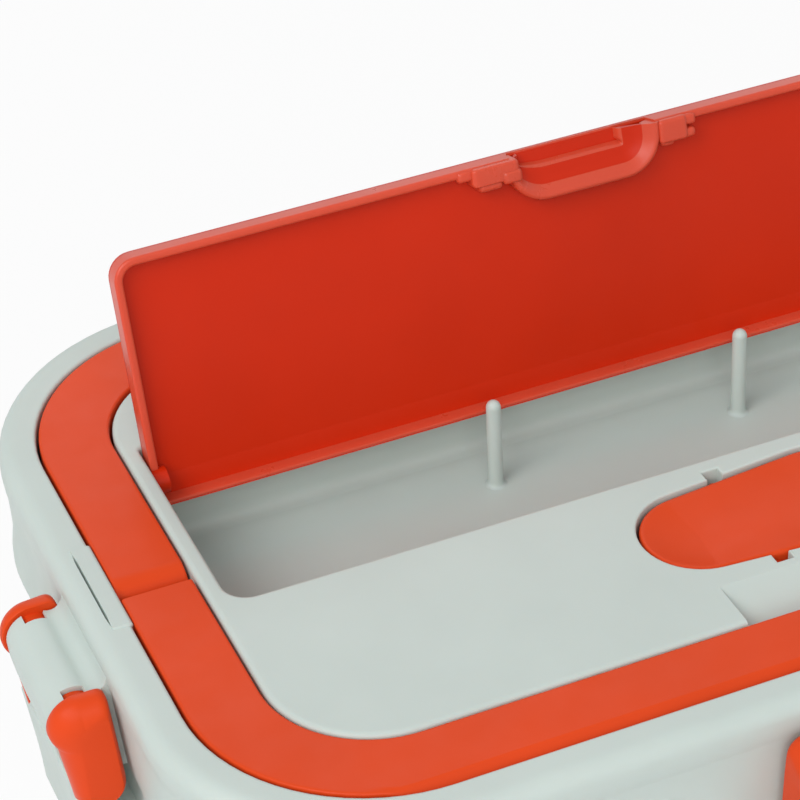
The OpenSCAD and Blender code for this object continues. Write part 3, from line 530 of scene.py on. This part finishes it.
def recess_outline(grow):
    """The recess's outline moved outwards, counter-clockwise and nearly square at its rear corners."""
    x, front, rear = RECESS_X + grow, RECESS_FRONT - grow, RECESS_REAR + grow
    front_r = RECESS_R + grow
    rear_r = max(RECESS_REAR_R + grow, 0.15)
    corners = ((x - rear_r, rear - rear_r, rear_r), (rear_r - x, rear - rear_r, rear_r),
               (front_r - x, front + front_r, front_r), (x - front_r, front + front_r, front_r))
    out = []
    for i, (middle_x, middle_y, r) in enumerate(corners):
        for angle in turns(math.pi / 2 * i, math.pi / 2 * (i + 1), 8):
            out.append((middle_x + r * math.cos(angle), middle_y + r * math.sin(angle)))
    return out


def lever_outline(grow=0.0, notches=False):
    """Two circles and the straight sides that touch both, counter-clockwise from the right circle."""
    (x_left, r_left), (x_right, r_right) = LEVER_LEFT, LEVER_RIGHT
    lean = math.asin((r_right - r_left) / (x_right - x_left))
    top = math.pi / 2 + lean
    circles = ((x_right, r_right, -top, top, 1), (x_left, r_left, top, 2 * math.pi - top, -1))
    out = []
    for x, r, start, end, side in circles:
        for angle in turns(start, end, 24):
            out.append((x + (r + grow) * math.cos(angle), LEVER_Y + (r + grow) * math.sin(angle)))
        if notches:
            out += notch_corners(side, grow)
    return out


def notch_corners(side, grow):
    """The four corners of the notch for a pivot stub, in one long side of the well."""
    (x_left, r_left), (x_right, r_right) = LEVER_LEFT, LEVER_RIGHT
    slope = (r_right - r_left) / (x_right - x_left)
    reach = STUB_END + 2 * LEVER_GAP

    def edge(x):
        """Half the well's width at x, without the notches."""
        return (r_left + grow + slope * (x - x_left)) / math.sqrt(1 - slope * slope)

    near, far = reversed(NOTCH) if side > 0 else NOTCH
    corners = ((near, edge(near)), (near, reach), (far, reach), (far, edge(far)))
    return [(x, LEVER_Y + side * y) for x, y in corners]


def post(skin, x, y):
    """A cutlery post with a small foot and a round end."""
    profile = curve3((POST_R + POST_FOOT, RECESS_Z), (POST_R, RECESS_Z), (POST_R, RECESS_Z + POST_FOOT_H), 3)
    r, z = POST_R * POST_TIP, POST_Z - POST_R
    profile += [(r, z)] + [(r * math.cos(angle), z + POST_R * math.sin(angle)) for angle in POST_ROUND]
    spokes = [heading(angle) for angle in turns(0, 2 * math.pi, 24)[:-1]]
    rings = [skin.ring((x + d.x * r, y + d.y * r, TOP + z) for d in spokes) for r, z in profile]
    skin.bridge(rings)
    skin.faces.append(tuple(rings[-1]))


def lid_shell():
    """The lid with its groove, recess, posts, lever well and vent nozzle."""
    skin = Skin()
    path = lid_path()
    rings = []
    for row in zip(*(lid_section(stop) for stop in path)):
        rings.append(skin.ring((p.middle.x + p.outwards.x * u, p.middle.y + p.outwards.y * u, TOP + z)
                               for p, (u, z) in zip(path, row)))
    skin.bridge(rings)

    lip = curve3((RECESS_LIP, 0.0), (0.0, 0.0), (0.0, -RECESS_LIP))
    foot = curve3((0.0, RECESS_Z + RECESS_FOOT), (0.0, RECESS_Z), (-RECESS_FOOT, RECESS_Z), 5)
    recess = [skin.ring((x, y, TOP + z) for x, y in recess_outline(grow)) for grow, z in lip + foot]
    skin.bridge(recess)
    skin.fill(recess[-1])

    outline = lever_outline(LEVER_GAP, notches=True)
    lip = curve3((WELL_LIP, 0.0), (0.0, 0.0), (0.0, -WELL_LIP))
    well = [skin.ring((x, y, TOP + z) for x, y in grown(outline, grow)) for grow, z in lip + [(0.0, WELL_Z)]]
    skin.bridge(well)
    skin.fill(well[-1])
    skin.fill(rings[0], recess[0], well[0])

    belly_z = RECESS_Z - RECESS_WALL
    belly = [skin.ring((x, y, TOP + z) for x, y in recess_outline(RECESS_WALL)) for z in (UNDER_Z, belly_z)]
    skin.bridge(belly)
    skin.fill(belly[1])
    skin.fill(rings[-1], belly[0])

    for x in (-POST_X, POST_X):
        post(skin, x, POST_Y)
    nozzle = (LEVER_RIGHT[0], LEVER_Y)
    skin.rod((*nozzle, TOP + WELL_Z), (*nozzle, TOP + WELL_Z + NOZZLE_H), NOZZLE_R)
    skin.rod((*nozzle, TOP + belly_z), (*nozzle, TOP + UNDER_Z + 0.1), NOZZLE_R)
    return skin


build("lid_shell_detailed", lid_shell(), "lid", PALE, ("lid_shell",))


# ---- Latch bosses ----

# A latch's axis: distance out from the lid's side, and height
LATCH_OUT = 5.5
LATCH_Z = -10.4

# Half the boss's length, its lower edge, and the socket for an ear's hub at each end
BOSS_Y = 11.5
BOSS_LOW = -23.0
BOSS_R = 4.75
SOCKET_R = 4.2
SOCKET_DEEP = 2.2

# Angles round the latch's axis, in degrees from straight outwards: the top between the sockets, a socket's
# wall, and the round of the face
BOSS_TOP = (116, 76)
SOCKET_WALL = (117.2, 428.3)
FACE_ROUND = (69, 0)

# (Distance out, height) points from the rim through the valley to the boss, and down its front and back in
BOSS_VALLEY = [(-2.6, -3.6), (-0.9, -3.8), (0.05, -4.2), (0.3, -5.0), (0.75, -5.75), (1.35, -6.25),
               (2.1, -6.45), (2.8, -6.38), (3.38, -6.15)]
BOSS_FRONT = [(10.0, -13.5), (9.4, -17.0), (8.3, -22.4), (7.9, BOSS_LOW), (-3.0, BOSS_LOW)]


def side_frame(i):
    """Matrix that puts (outwards, along, up) millimetres at the latch of side i, in metres."""
    out = (LID_W if SIDES[i] in ("right", "left") else LID_D) / 2
    turn = Matrix.Rotation(math.pi / 2 * i, 4, "Z")
    return turn @ Matrix.Translation((out * MM, LATCH_ALONG[i] * MM, 0))


def latch_arc(start, end, steps, radius):
    """Points round the latch's axis, by angle in degrees from straight outwards."""
    angles = (math.radians(angle) for angle in turns(start, end, steps))
    return [(LATCH_OUT + radius * math.cos(angle), LATCH_Z + radius * math.sin(angle)) for angle in angles]


def boss():
    """The boss that carries a latch, blended into the rim, with an open-topped socket at each end."""
    top = latch_arc(*BOSS_TOP, 6, BOSS_R)
    socket = latch_arc(*SOCKET_WALL, 26, SOCKET_R)
    face = latch_arc(*FACE_ROUND, 10, BOSS_R) + BOSS_FRONT
    skin = Skin()

    def slice_at(y, outline):
        """A ring across the boss at y."""
        return skin.ring((x, y, TOP + z) for x, z in outline)

    places = (-BOSS_Y, -BOSS_Y + SOCKET_DEEP, BOSS_Y - SOCKET_DEEP, BOSS_Y)
    rings = [slice_at(y, BOSS_VALLEY + socket + face) for y in places]
    for end, floor in ((0, 1), (3, 2)):
        skin.bridge([rings[end], rings[floor]])
        skin.fill(rings[end])
        skin.fill(slice_at(places[floor], BOSS_VALLEY[-1:] + socket + face[:1] + top[::-1]))
    skin.bridge([slice_at(y, BOSS_VALLEY + top + face) for y in places[1:3]])
    return skin


for i, side in enumerate(SIDES):
    build(f"latch_boss_{side}", boss(), "lid", PALE, ("latch_bosses",), bevel=0.3,
          matrix=side_frame(i))


# ---- Handles ----

# The bar's inner and outer side, its underside and middle, its upper edge and the front bar's chamfer
HANDLE_IN = 19.2
HANDLE_OUT = 31.5
HANDLE_LOW = -8.7
HANDLE_MIDDLE = ((HANDLE_IN + HANDLE_OUT) / 2, HANDLE_LOW / 2)
BAR_EDGE = 1.3
CHAMFER = 1.8

# Pivots: their radius, how far they reach past the bar, and (y, height) of each bail's pair
PIVOT_R = 2.0
PIVOT_REACH = 2.5
REAR_PIVOT = (1.5, HANDLE_LOW / 2)
FRONT_PIVOT = (-9.0, -3.0)

# Where the front bail's arms end, and how far their undersides reach below its pivot there
FRONT_END = -4.5
FRONT_HEEL_R = 6.05


def bar_section(rear, p, d):
    """A bar's section at one place: (distance from the corner's middle, height) points."""
    a, b, low = HANDLE_IN, HANDLE_OUT, HANDLE_LOW
    # The front bar's chamfer lies on one plane, so it runs out round the corner
    cut = 0.0 if rear else max(0.0, CHAMFER - (CY + b - p.y - d.y * b))
    start = (b - CHAMFER) / d.y if cut > 0 else b - BAR_EDGE
    start = min(start, b - BAR_EDGE + cut / 2)
    return rounded([(a, low), (a, 0), (start, 0), (b, -cut), (b, low)], [0.9, 0.55, 0.3, 0.55, 0.9])


def rear_arm():
    """(y, share of the bar's height) along the rear bail's arm, from its round end."""
    y, r = REAR_PIVOT[0], -HANDLE_LOW / 2
    round_end = [(y - r * math.sin(t), math.cos(t)) for t in turns(math.pi / 2, 0, 12)]
    return round_end + [(14, 1.0), (22, 1.0), (29, 1.0)]


def front_arm():
    """(y, share of the bar's height) along the front bail's arm, mirrored to run like the rear one's."""
    end, pivot = -FRONT_END, -FRONT_PIVOT[0]
    return [(end, 0.0)] + [(y, 1.0) for y in (end, end + 0.8, end + 2.2, pivot, 16, 25)]


def bar_point(rear, y, share, u, z):
    """A point of a bar's section, thinned towards a rear arm's end or cut round the front pivot."""
    middle_u, middle_z = HANDLE_MIDDLE
    if rear:
        return u, mix(middle_z, z, share)
    pivot = -FRONT_PIVOT[0]
    drop = FRONT_HEEL_R ** 2 - (y - pivot) ** 2
    if y < pivot and drop > 0:
        z = max(z, FRONT_PIVOT[1] - math.sqrt(drop))
    if share == 0.0:
        u, z = mix(middle_u, u, 0.93), mix(middle_z, z, 0.9)
    return u, z


def bail(rear):
    """A bail's bar swept round the groove from one arm's end to the other's, with its pivots."""
    arm, pivot, flip = (rear_arm(), REAR_PIVOT, 1) if rear else (front_arm(), FRONT_PIVOT, -1)
    half = [(Vector((CX, y)), Vector((1, 0)), share) for y, share in arm]
    half += [(Vector((CX, CY)), heading(angle), 1.0) for angle in turns(0, math.pi / 2, CORNER_STEPS)]
    spans = [(Vector((x, CY)), Vector((0, 1)), 1.0) for x in (50, 25, 0, -25, -50)]
    mirrored = [(Vector((-p.x, p.y)), Vector((-d.x, d.y)), share) for p, d, share in reversed(half)]
    skin = Skin()
    rings = []
    for p, d, share in half + spans + mirrored:
        section = [bar_point(rear, p.y, share, u, z) for u, z in bar_section(rear, p, d)]
        rings.append(skin.ring((p.x + d.x * u, flip * (p.y + d.y * u), TOP + z) for u, z in section))
    skin.bridge(rings)
    skin.faces += [tuple(rings[0]), tuple(rings[-1])]
    y, z = pivot[0], TOP + pivot[1]
    for s in (-1, 1):
        skin.rod((s * (CX + HANDLE_OUT - 0.5), y, z), (s * (CX + HANDLE_OUT + PIVOT_REACH), y, z), PIVOT_R)
    return skin


build("rear_handle_detailed", bail(True), "rear_handle", HANDLE, ("rear_handle",))
build("front_handle_detailed", bail(False), "front_handle", HANDLE, ("front_handle",))


# ---- Cutlery cover, made shut and swung open ----

# Plate: half its width, its front edge, the radius of its front corners and its underside
COVER_X = 86.0
COVER_FRONT = -12.5
COVER_R = 4.2
COVER_T = -1.8

# Hinge: its place along y and height, how far it stands open, its barrels and its pins
HINGE = (28.0, -4.0)
OPEN = 105.0
BARREL_R = 2.4
BARREL_L = 2.6
PIN_R = 1.5
PIN_REACH = 2.2

# How far in the plate's flat faces start, and its rounded edge with the joint line under it
PLATE_IN = 3.0
PLATE_EDGE = [(PLATE_IN, 0.0)] + curve3((0.9, 0.0), (0.0, 0.0), (0.0, -0.9)) + [
    (0.0, -1.25), (0.4, -1.6), (0.45, COVER_T), (PLATE_IN, COVER_T)]

# (Distance behind the hinge's axis, height) of the heel's front and of the lip behind it
HEEL_R = 5.0
HEEL_FRONT = [(-0.4, COVER_T + 0.3), (0.0, COVER_T), (3.8, COVER_T), (4.3, -3.3), (4.6, -3.9)]
HEEL_LIP = [(3.6, -1.5), (3.6, COVER_T), (3.8, -2.6), (3.95, -3.6), (4.2, -4.05), (4.55, -4.12),
            (4.85, -3.95), (4.7, -3.2)]

# Rim round three sides, lower at the finger pull
RIM_T = 1.5
RIM_Z = -4.6
RIM_ROUND = 0.5
PULL_RIM_Z = -1.55

# Finger pull: its middle and half its width, its rear edge, the radius of its rear corners and its wall
PULL_MID = 1.35
PULL_X = 13.55
PULL_BACK = -4.6
PULL_R = 6.0
PULL_WALL = 1.2
PULL_LEFT_SHARE = 0.3
PULL_RIGHT_SHARE = 1.23

# (Distance in from the pull's outline, height) of its outer lip, its floor and its inner step
PULL_LIP = [(-PULL_WALL, COVER_T + 0.4)] + curve3((-PULL_WALL, -4.4), (-PULL_WALL, -5.4), (-0.3, -5.4), 5) + [
    (0.3, -5.1), (0.9, -4.6), (1.5, -4.15), (1.4, -3.0)]
PULL_FLOOR = [(1.3, -3.6), (1.5, -4.15), (2.2, -3.8), (3.1, -3.5), (4.4, -3.3), (4.5, -2.0)]
PULL_STEP = [(4.3, -2.4), (4.4, -3.3), (4.7, -3.15), (4.95, -2.7), (5.2, COVER_T - 0.05),
             (5.4, COVER_T + 0.4)]

# Blocks of each snap tab: left, right, front, rear and lower end
TABS = {
    "left": ((-20.4, -11.3, -12.3, -8.8, -5.6), (-19.2, -14.6, -12.2, -7.6, -5.2),
             (-23.0, -19.6, -12.3, -10.2, -4.9), (-14.8, -11.0, -10.6, -8.2, -5.9)),
    "right": ((15.8, 21.4, -12.3, -7.9, -5.6), (20.4, 23.3, -12.2, -10.2, -5.3),
              (20.4, 23.0, -9.7, -7.9, -5.3), (16.2, 19.0, -8.6, -7.2, -4.8)),
}


def mirrored_path(path):
    """The (point, direction) places of a path in reverse order, mirrored from left to right."""
    return [(Vector((-p.x, p.y)), Vector((-d.x, d.y))) for p, d in reversed(path)]


def cover_path():
    """(point, inward direction) along the cover's left, front and right edges."""
    left = [(Vector((-COVER_X, y)), Vector((1, 0))) for y in (HINGE[0], 18, 8, -2)]

    def corner(side, start):
        """Places round one front corner, from the start angle."""
        middle = Vector((side * (COVER_X - COVER_R), COVER_FRONT + COVER_R))
        headings = (heading(angle) for angle in turns(start, start + math.pi / 2, 8))
        return [(middle + d * COVER_R, -d) for d in headings]

    pull_left, pull_right = PULL_MID - PULL_X, PULL_MID + PULL_X
    front = [(Vector((x, COVER_FRONT)), Vector((0, 1))) for x in
             (-60, -40, -27, pull_left - 0.6, pull_left, pull_right, pull_right + 0.6, 27, 40, 60)]
    return left + corner(-1, math.pi) + front + corner(1, math.pi * 1.5) + mirrored_path(left)


def swept(skin, section_at):
    """Rings of a section carried along the cover's edges; section_at(point, inwards) gives it."""
    columns = []
    for p, d in cover_path():
        columns.append([(p.x + d.x * u, p.y + d.y * u, TOP + z) for u, z in section_at(p, d)])
    return [skin.ring(row) for row in zip(*columns)]


def along_x(x_low, x_high, outline, skin):
    """A prism across the cover, from (distance behind the hinge's axis, height) points."""
    skin.prism(outline, x_low, x_high, lambda behind, z, x: (x, HINGE[0] + behind, TOP + z))


def cutlery_cover():
    """The cover's plate with the heel behind its hinge, the hinge's barrels and pins and the pull's floor."""
    skin = Skin()
    skin.loft(swept(skin, lambda p, d: PLATE_EDGE), closed=False)
    y, z = HINGE
    arc = turns(math.pi / 2, math.acos(-z / HEEL_R), 8)
    heel = HEEL_FRONT + [(HEEL_R * math.sin(t), z + HEEL_R * math.cos(t)) for t in arc]
    along_x(-COVER_X, COVER_X, heel + [(HEEL_FRONT[0][0], 0.0)], skin)
    for s in (-1, 1):
        skin.rod((s * (COVER_X - BARREL_L), y, TOP + z), (s * COVER_X, y, TOP + z), BARREL_R, 32)
        skin.rod((s * (COVER_X - 1), y, TOP + z), (s * (COVER_X + PIN_REACH), y, TOP + z), PIN_R)
    finger_pull(skin, PULL_FLOOR)
    return skin


def rim_at(p, d):
    """The rim's section at one place of the cover's edge: (distance in, height) points."""
    at_pull = abs(p.x - PULL_MID) <= PULL_X and d.y == 1
    low = PULL_RIM_Z if at_pull else RIM_Z
    t, z, r = RIM_T, RIM_Z, RIM_ROUND
    points = [(0.4, -1.3), (0.0, -1.2)] + curve3((0.0, z + r), (0.0, z), (r, z), 3)
    points += curve3((t - r, z), (t, z), (t, z + r), 3)
    points += curve3((t, COVER_T - 0.3), (t, COVER_T), (t + 0.5, COVER_T - 0.02)) + [(1.6, -1.3)]
    return [(u, max(z, low)) for u, z in points]


def cover_rim():
    """The rim round three sides, the lip of the rear edge and the finger pull's lip and step."""
    skin = Skin()
    rings = swept(skin, rim_at)
    skin.bridge(rings + rings[:1], closed=False)
    skin.cap_ends(rings)
    along_x(0.3 - COVER_X, COVER_X - 0.3, HEEL_LIP, skin)
    finger_pull(skin, PULL_LIP)
    finger_pull(skin, PULL_STEP)
    return skin


def finger_pull(skin, section):
    """One part of the finger pull, a U-shaped trough that is wider at its right end."""
    left, right = PULL_MID - PULL_X, PULL_MID + PULL_X
    straight, front = PULL_BACK - PULL_R, COVER_FRONT + 0.3
    path = [(Vector((left, y)), Vector((1, 0))) for y in (front, straight + 0.01)]
    for x, start in ((left + PULL_R, math.pi), (right - PULL_R, math.pi / 2)):
        for angle in turns(start, start - math.pi / 2, 12):
            path.append((Vector((x, straight)) + heading(angle) * PULL_R, -heading(angle)))
    path += [(Vector((right, y)), Vector((-1, 0))) for y in (straight + 0.01, front)]

    def place(p, d, u, z):
        """A point of the trough, whose inner part is drawn narrow at the left end and wide at the right."""
        share = 1.0
        if u > 0:
            share = mix(1.0, PULL_LEFT_SHARE, d.x) if d.x > 0 else mix(1.0, PULL_RIGHT_SHARE, -d.x)
        return p.x + d.x * u * share, p.y + d.y * u, TOP + z

    rings = [skin.ring(place(p, d, u, z) for p, d in path) for u, z in section]
    skin.bridge(rings, closed=False)
    skin.cap_ends(rings)


def snap_tab(side):
    """The lumpy snap tab beside the finger pull, from overlapping rounded blocks."""
    skin = Skin()
    for left, right, front, rear, low in TABS[side]:
        outline = [(left, front), (right, front), (right, rear), (left, rear)]
        skin.prism(outline, COVER_T + 0.5, low, lambda x, y, z: (x, y, TOP + z))
    return skin


hinge = Vector((0, HINGE[0] * MM, (TOP + HINGE[1]) * MM))
swing = Matrix.Translation(hinge) @ Matrix.Rotation(math.radians(-OPEN), 4, "X") @ Matrix.Translation(-hinge)
build("cover_detailed", cutlery_cover(), "cutlery_cover", ACCENT, ("cutlery_cover",),
      matrix=swing)
# The rim, lips, step and tabs take the lighter red of painted highlight, not the plate's own red
build("cover_rim_detailed", cover_rim(), "cutlery_cover", COVER_PAINTED_HIGHLIGHT, matrix=swing)
for side in TABS:
    build(f"cover_tab_{side}", snap_tab(side), "cutlery_cover", COVER_PAINTED_HIGHLIGHT, bevel=0.8,
          bevel_steps=4, matrix=swing)


# ---- Latches ----

# Ears: radius at the axis, where they start along the side, their width and the radius of their hubs
EAR_R = 5.4
EAR_Y = 11.9
EAR_W = 4.6
HUB_R = 3.9

# (Distance out, height) corners of an ear's inner side up to the axis, and of its lower part back to there
EAR_INNER = [(0.3, -12.4), (0.9, -5.1), (LATCH_OUT, -5.0)]
EAR_LOW = [(9.64, -13.87), (8.1, -24.6), (7.8, -27.2), (5.2, -27.2), (-0.7, -24.6), (0.3, -12.4)]

# How long an ear's domed end is, and the foot of the spine that it is drawn in to. The inner side is drawn in
# by less: these shares across and up, blended over a distance from the spine.
DOME = 3.6
SPINE_FOOT = (5.6, -25.4)
INNER_ACROSS = 0.25
INNER_UP = 0.6
INNER_BLEND = 4.0

# Plate: (distance out, height) down its face, and the hook that reaches in from it
PLATE_FACE = [(8.1, -24.6), (7.0, -34.3), (6.4, -40.3), (6.1, -46.9)]
PLATE_T = 2.6
HOOK_X = 0.1
HOOK_Z = -37.3
HOOK_H = 3.0
HOOK_ROOT = 3.2


def ear_outline():
    """The ear seen along the side, up its inner side, over the axis and down round its foot."""
    inner = rounded(EAR_INNER, [0, 1.7, 0], 6, closed=False)
    low = rounded(EAR_LOW, [0, 1.5, 0.6, 1.2, 2.2, 0], closed=False)
    return inner[:-1] + latch_arc(90, -36, 20, EAR_R) + low[:-1]


def drawn_in(x, z, share):
    """A point of the ear's outline, drawn in to the spine; its inner side is drawn in less."""
    down = clamp((z - LATCH_Z) / (SPINE_FOOT[1] - LATCH_Z))
    mid_x, mid_z = mix(LATCH_OUT, SPINE_FOOT[0], down), mix(LATCH_Z, SPINE_FOOT[1], down)
    inside = clamp((mid_x - x) / INNER_BLEND)
    across = 1 - (1 - share) * mix(1.0, INNER_ACROSS, inside)
    up = 1 - (1 - share) * mix(1.0, INNER_UP, inside)
    return mix(mid_x, x, across), mix(mid_z, z, up)


def latch_ears():
    """Both ears, each a dome at its outer end and nearly flat beside the skirt, with their hubs."""
    outline = ear_outline()
    stages = [(0.0, 0.96), (0.3, 1.0), (EAR_W - DOME, 1.0)]
    for angle in turns(0, math.radians(80), 10)[1:]:
        stages.append((EAR_W - DOME + DOME * math.sin(angle), math.cos(angle)))
    skin = Skin()
    for s in (-1, 1):
        rings = []
        for along, share in stages:
            section = [drawn_in(x, z, share) for x, z in outline]
            rings.append(skin.ring((x, s * (EAR_Y + along), TOP + z) for x, z in section))
        skin.loft(rings)
        skin.rod((LATCH_OUT, s * (BOSS_Y - SOCKET_DEEP + 0.2), TOP + LATCH_Z),
                 (LATCH_OUT, s * (EAR_Y + 0.6), TOP + LATCH_Z), HUB_R, 36)
    return skin


def latch_plate():
    """The plate between and below the ears, with the hook that goes under the catch."""
    skin = Skin()
    back = [(x - PLATE_T, z) for x, z in reversed(PLATE_FACE)]
    plate = rounded(PLATE_FACE + back, [0.9, 3, 3, 1.1, 1.1, 3, 3, 0.9])
    hook = [(HOOK_X, HOOK_Z), (HOOK_ROOT, HOOK_Z), (HOOK_ROOT, HOOK_Z - HOOK_H),
            (HOOK_X + 0.8, HOOK_Z - HOOK_H), (HOOK_X, HOOK_Z - 2)]
    for outline in (plate, hook):
        skin.prism(outline, -EAR_Y - EAR_W, EAR_Y + EAR_W, lambda x, z, along: (x, along, TOP + z))
    return skin


for i, side in enumerate(SIDES):
    build(f"latch_ears_{side}", latch_ears(), f"latch_{side}", HANDLE, (f"latch_{side}",),
          matrix=side_frame(i))
    build(f"latch_plate_{side}", latch_plate(), f"latch_{side}", PALE, (f"latch_{side}",),
          bevel=0.7, bevel_steps=4, matrix=side_frame(i))


# ---- Vent lever ----

# Its upper side, height and rounded edge, the dish, and its pivot stubs, whose axis is given by (x, height)
LEVER_TOP = -0.4
LEVER_H = 5.4
LEVER_ROUND = 0.9
DISH_R = 40.0
DISH_DEEP = 1.3
STUB_R = 1.2
LEVER_PIN = (-1.5, -3.4)


def lever_height(x, y):
    """Height of the lever's upper side, which is dished round the middle of its left end."""
    away = math.hypot(x - LEVER_LEFT[0], y - LEVER_Y)
    return LEVER_TOP - max(0.0, DISH_DEEP - away * away / (2 * DISH_R))


def vent_lever():
    """The lever with its dished upper side and its two pivot stubs."""
    skin = Skin()
    low = LEVER_TOP - LEVER_H
    rings = []
    for grow, z in ((-0.4, low), (0.0, low + 0.4)):
        rings.append(skin.ring((x, y, TOP + z) for x, y in lever_outline(grow)))
    edge = curve3((0.0, LEVER_ROUND), (0.0, 0.0), (-LEVER_ROUND, 0.0), 5)
    for grow, down in edge + [(-inset, 0.0) for inset in range(2, 10)]:
        rings.append(skin.ring((x, y, TOP + lever_height(x, y) - down) for x, y in lever_outline(grow)))
    skin.loft(rings)
    x, z = LEVER_PIN[0], TOP + LEVER_PIN[1]
    for s in (-1, 1):
        skin.rod((x, LEVER_Y + s * LEVER_LEFT[1], z), (x, LEVER_Y + s * STUB_END, z), STUB_R)
    return skin


build("vent_lever_detailed", vent_lever(), "vent_lever", HANDLE, ("vent_lever",))


# ---- Studio, in metres ----

# Half the floor's width, and how much of what the camera sees of it is plain white
FLOOR_HALF = 6.0
FLOOR_WHITE = 0.9
SKY_STRENGTH = 0.5

# The photograph's camera: angles in degrees, and the point it looks at and its distance in millimetres
AZIMUTH = 21.071
ELEVATION = 35.736
ROLL = -3.299
TARGET = Vector((-40.3, 26.01, TOP))
DISTANCE = 530.1
FOCAL_PIXELS = 3025.0
PICTURE_PIXELS = 800.0
SENSOR_WIDTH = 36.0


def white_rays(nodes, links):
    """1 for the rays that see the background: camera, glossy and transmission rays."""
    path = nodes.new("ShaderNodeLightPath")
    seen = path.outputs["Is Camera Ray"]
    for ray in ("Is Glossy Ray", "Is Transmission Ray"):
        both = nodes.new("ShaderNodeMath")
        both.operation = "MAXIMUM"
        links.new(seen, both.inputs[0])
        links.new(path.outputs[ray], both.inputs[1])
        seen = both.outputs["Value"]
    return seen


def mixed(nodes, links, share, first, second, output):
    """Sends a mix of two shaders to the output."""
    blend = nodes.new("ShaderNodeMixShader")
    links.new(share, blend.inputs["Fac"])
    links.new(first, blend.inputs[1])
    links.new(second, blend.inputs[2])
    links.new(blend.outputs["Shader"], nodes[output].inputs["Surface"])


def floor():
    """A pale floor that the camera sees as nearly white."""
    half = FLOOR_HALF
    mesh = bpy.data.meshes.new("floor")
    corners = [(-half, -half, 0), (half, -half, 0), (half, half, 0), (-half, half, 0)]
    mesh.from_pydata(corners, [], [(0, 1, 2, 3)])
    plane = bpy.data.objects.new("floor", mesh)
    bpy.context.scene.collection.objects.link(plane)
    material = bpy.data.materials.new("studio_floor")
    material.use_nodes = True
    nodes, links = material.node_tree.nodes, material.node_tree.links
    bsdf = nodes["Principled BSDF"]
    bsdf.inputs["Base Color"].default_value = (0.82, 0.82, 0.82, 1)
    bsdf.inputs["Roughness"].default_value = 0.9
    glow = nodes.new("ShaderNodeEmission")
    glow.inputs["Color"].default_value = (1, 1, 1, 1)
    share = nodes.new("ShaderNodeMath")
    share.operation = "MULTIPLY"
    share.inputs[1].default_value = FLOOR_WHITE
    links.new(white_rays(nodes, links), share.inputs[0])
    mixed(nodes, links, share.outputs["Value"], bsdf.outputs["BSDF"], glow.outputs["Emission"],
          "Material Output")
    mesh.materials.append(material)


def sky():
    """A soft, slightly cool light from all round, seen as white."""
    world = bpy.data.worlds.new("studio")
    bpy.context.scene.world = world
    world.use_nodes = True
    nodes, links = world.node_tree.nodes, world.node_tree.links
    soft = nodes["Background"]
    soft.inputs["Color"].default_value = (0.97, 0.98, 1.0, 1)
    soft.inputs["Strength"].default_value = SKY_STRENGTH
    white = nodes.new("ShaderNodeBackground")
    white.inputs["Color"].default_value = (1, 1, 1, 1)
    mixed(nodes, links, white_rays(nodes, links), soft.outputs["Background"], white.outputs["Background"],
          "World Output")


def lamp(name, place, aim, size, power):
    """A round soft lamp at a place, turned to what it aims at."""
    light = bpy.data.lights.new(name, "AREA")
    light.shape = "DISK"
    light.size = size
    light.energy = power
    lamp_object = bpy.data.objects.new(name, light)
    lamp_object.location = place
    lamp_object.rotation_euler = (Vector(aim) - Vector(place)).to_track_quat("-Z", "Y").to_euler()
    bpy.context.scene.collection.objects.link(lamp_object)


def camera():
    """The photograph's view: a close three-quarter view from the front left, a little rolled."""
    azimuth, elevation, roll = (math.radians(angle) for angle in (AZIMUTH, ELEVATION, ROLL))
    back = Vector((-math.sin(azimuth) * math.cos(elevation), -math.cos(azimuth) * math.cos(elevation),
                   math.sin(elevation)))
    right = Vector((0, 0, 1)).cross(back).normalized()
    up = back.cross(right)
    turn = Matrix((right, up, back)).transposed() @ Matrix.Rotation(roll, 3, "Z")
    data = bpy.data.cameras.new("camera")
    data.sensor_width = SENSOR_WIDTH
    data.lens = FOCAL_PIXELS / PICTURE_PIXELS * SENSOR_WIDTH
    data.clip_start = 0.01
    view = bpy.data.objects.new("camera", data)
    view.matrix_world = Matrix.Translation((TARGET + back * DISTANCE) * MM) @ turn.to_4x4()
    bpy.context.scene.collection.objects.link(view)
    bpy.context.scene.camera = view


floor()
sky()
lamp("key", place=(-1.1, -0.6, 1.3), aim=(0, 0, 0.08), size=1.0, power=11.5)
lamp("front", place=(-0.55, -1.3, 1.0), aim=(0, 0, 0.1), size=1.2, power=9)
lamp("rim", place=(0.3, 1.3, 1.2), aim=(0, 0, 0.08), size=0.9, power=3)
camera()
bpy.context.scene.view_settings.view_transform = "Standard"
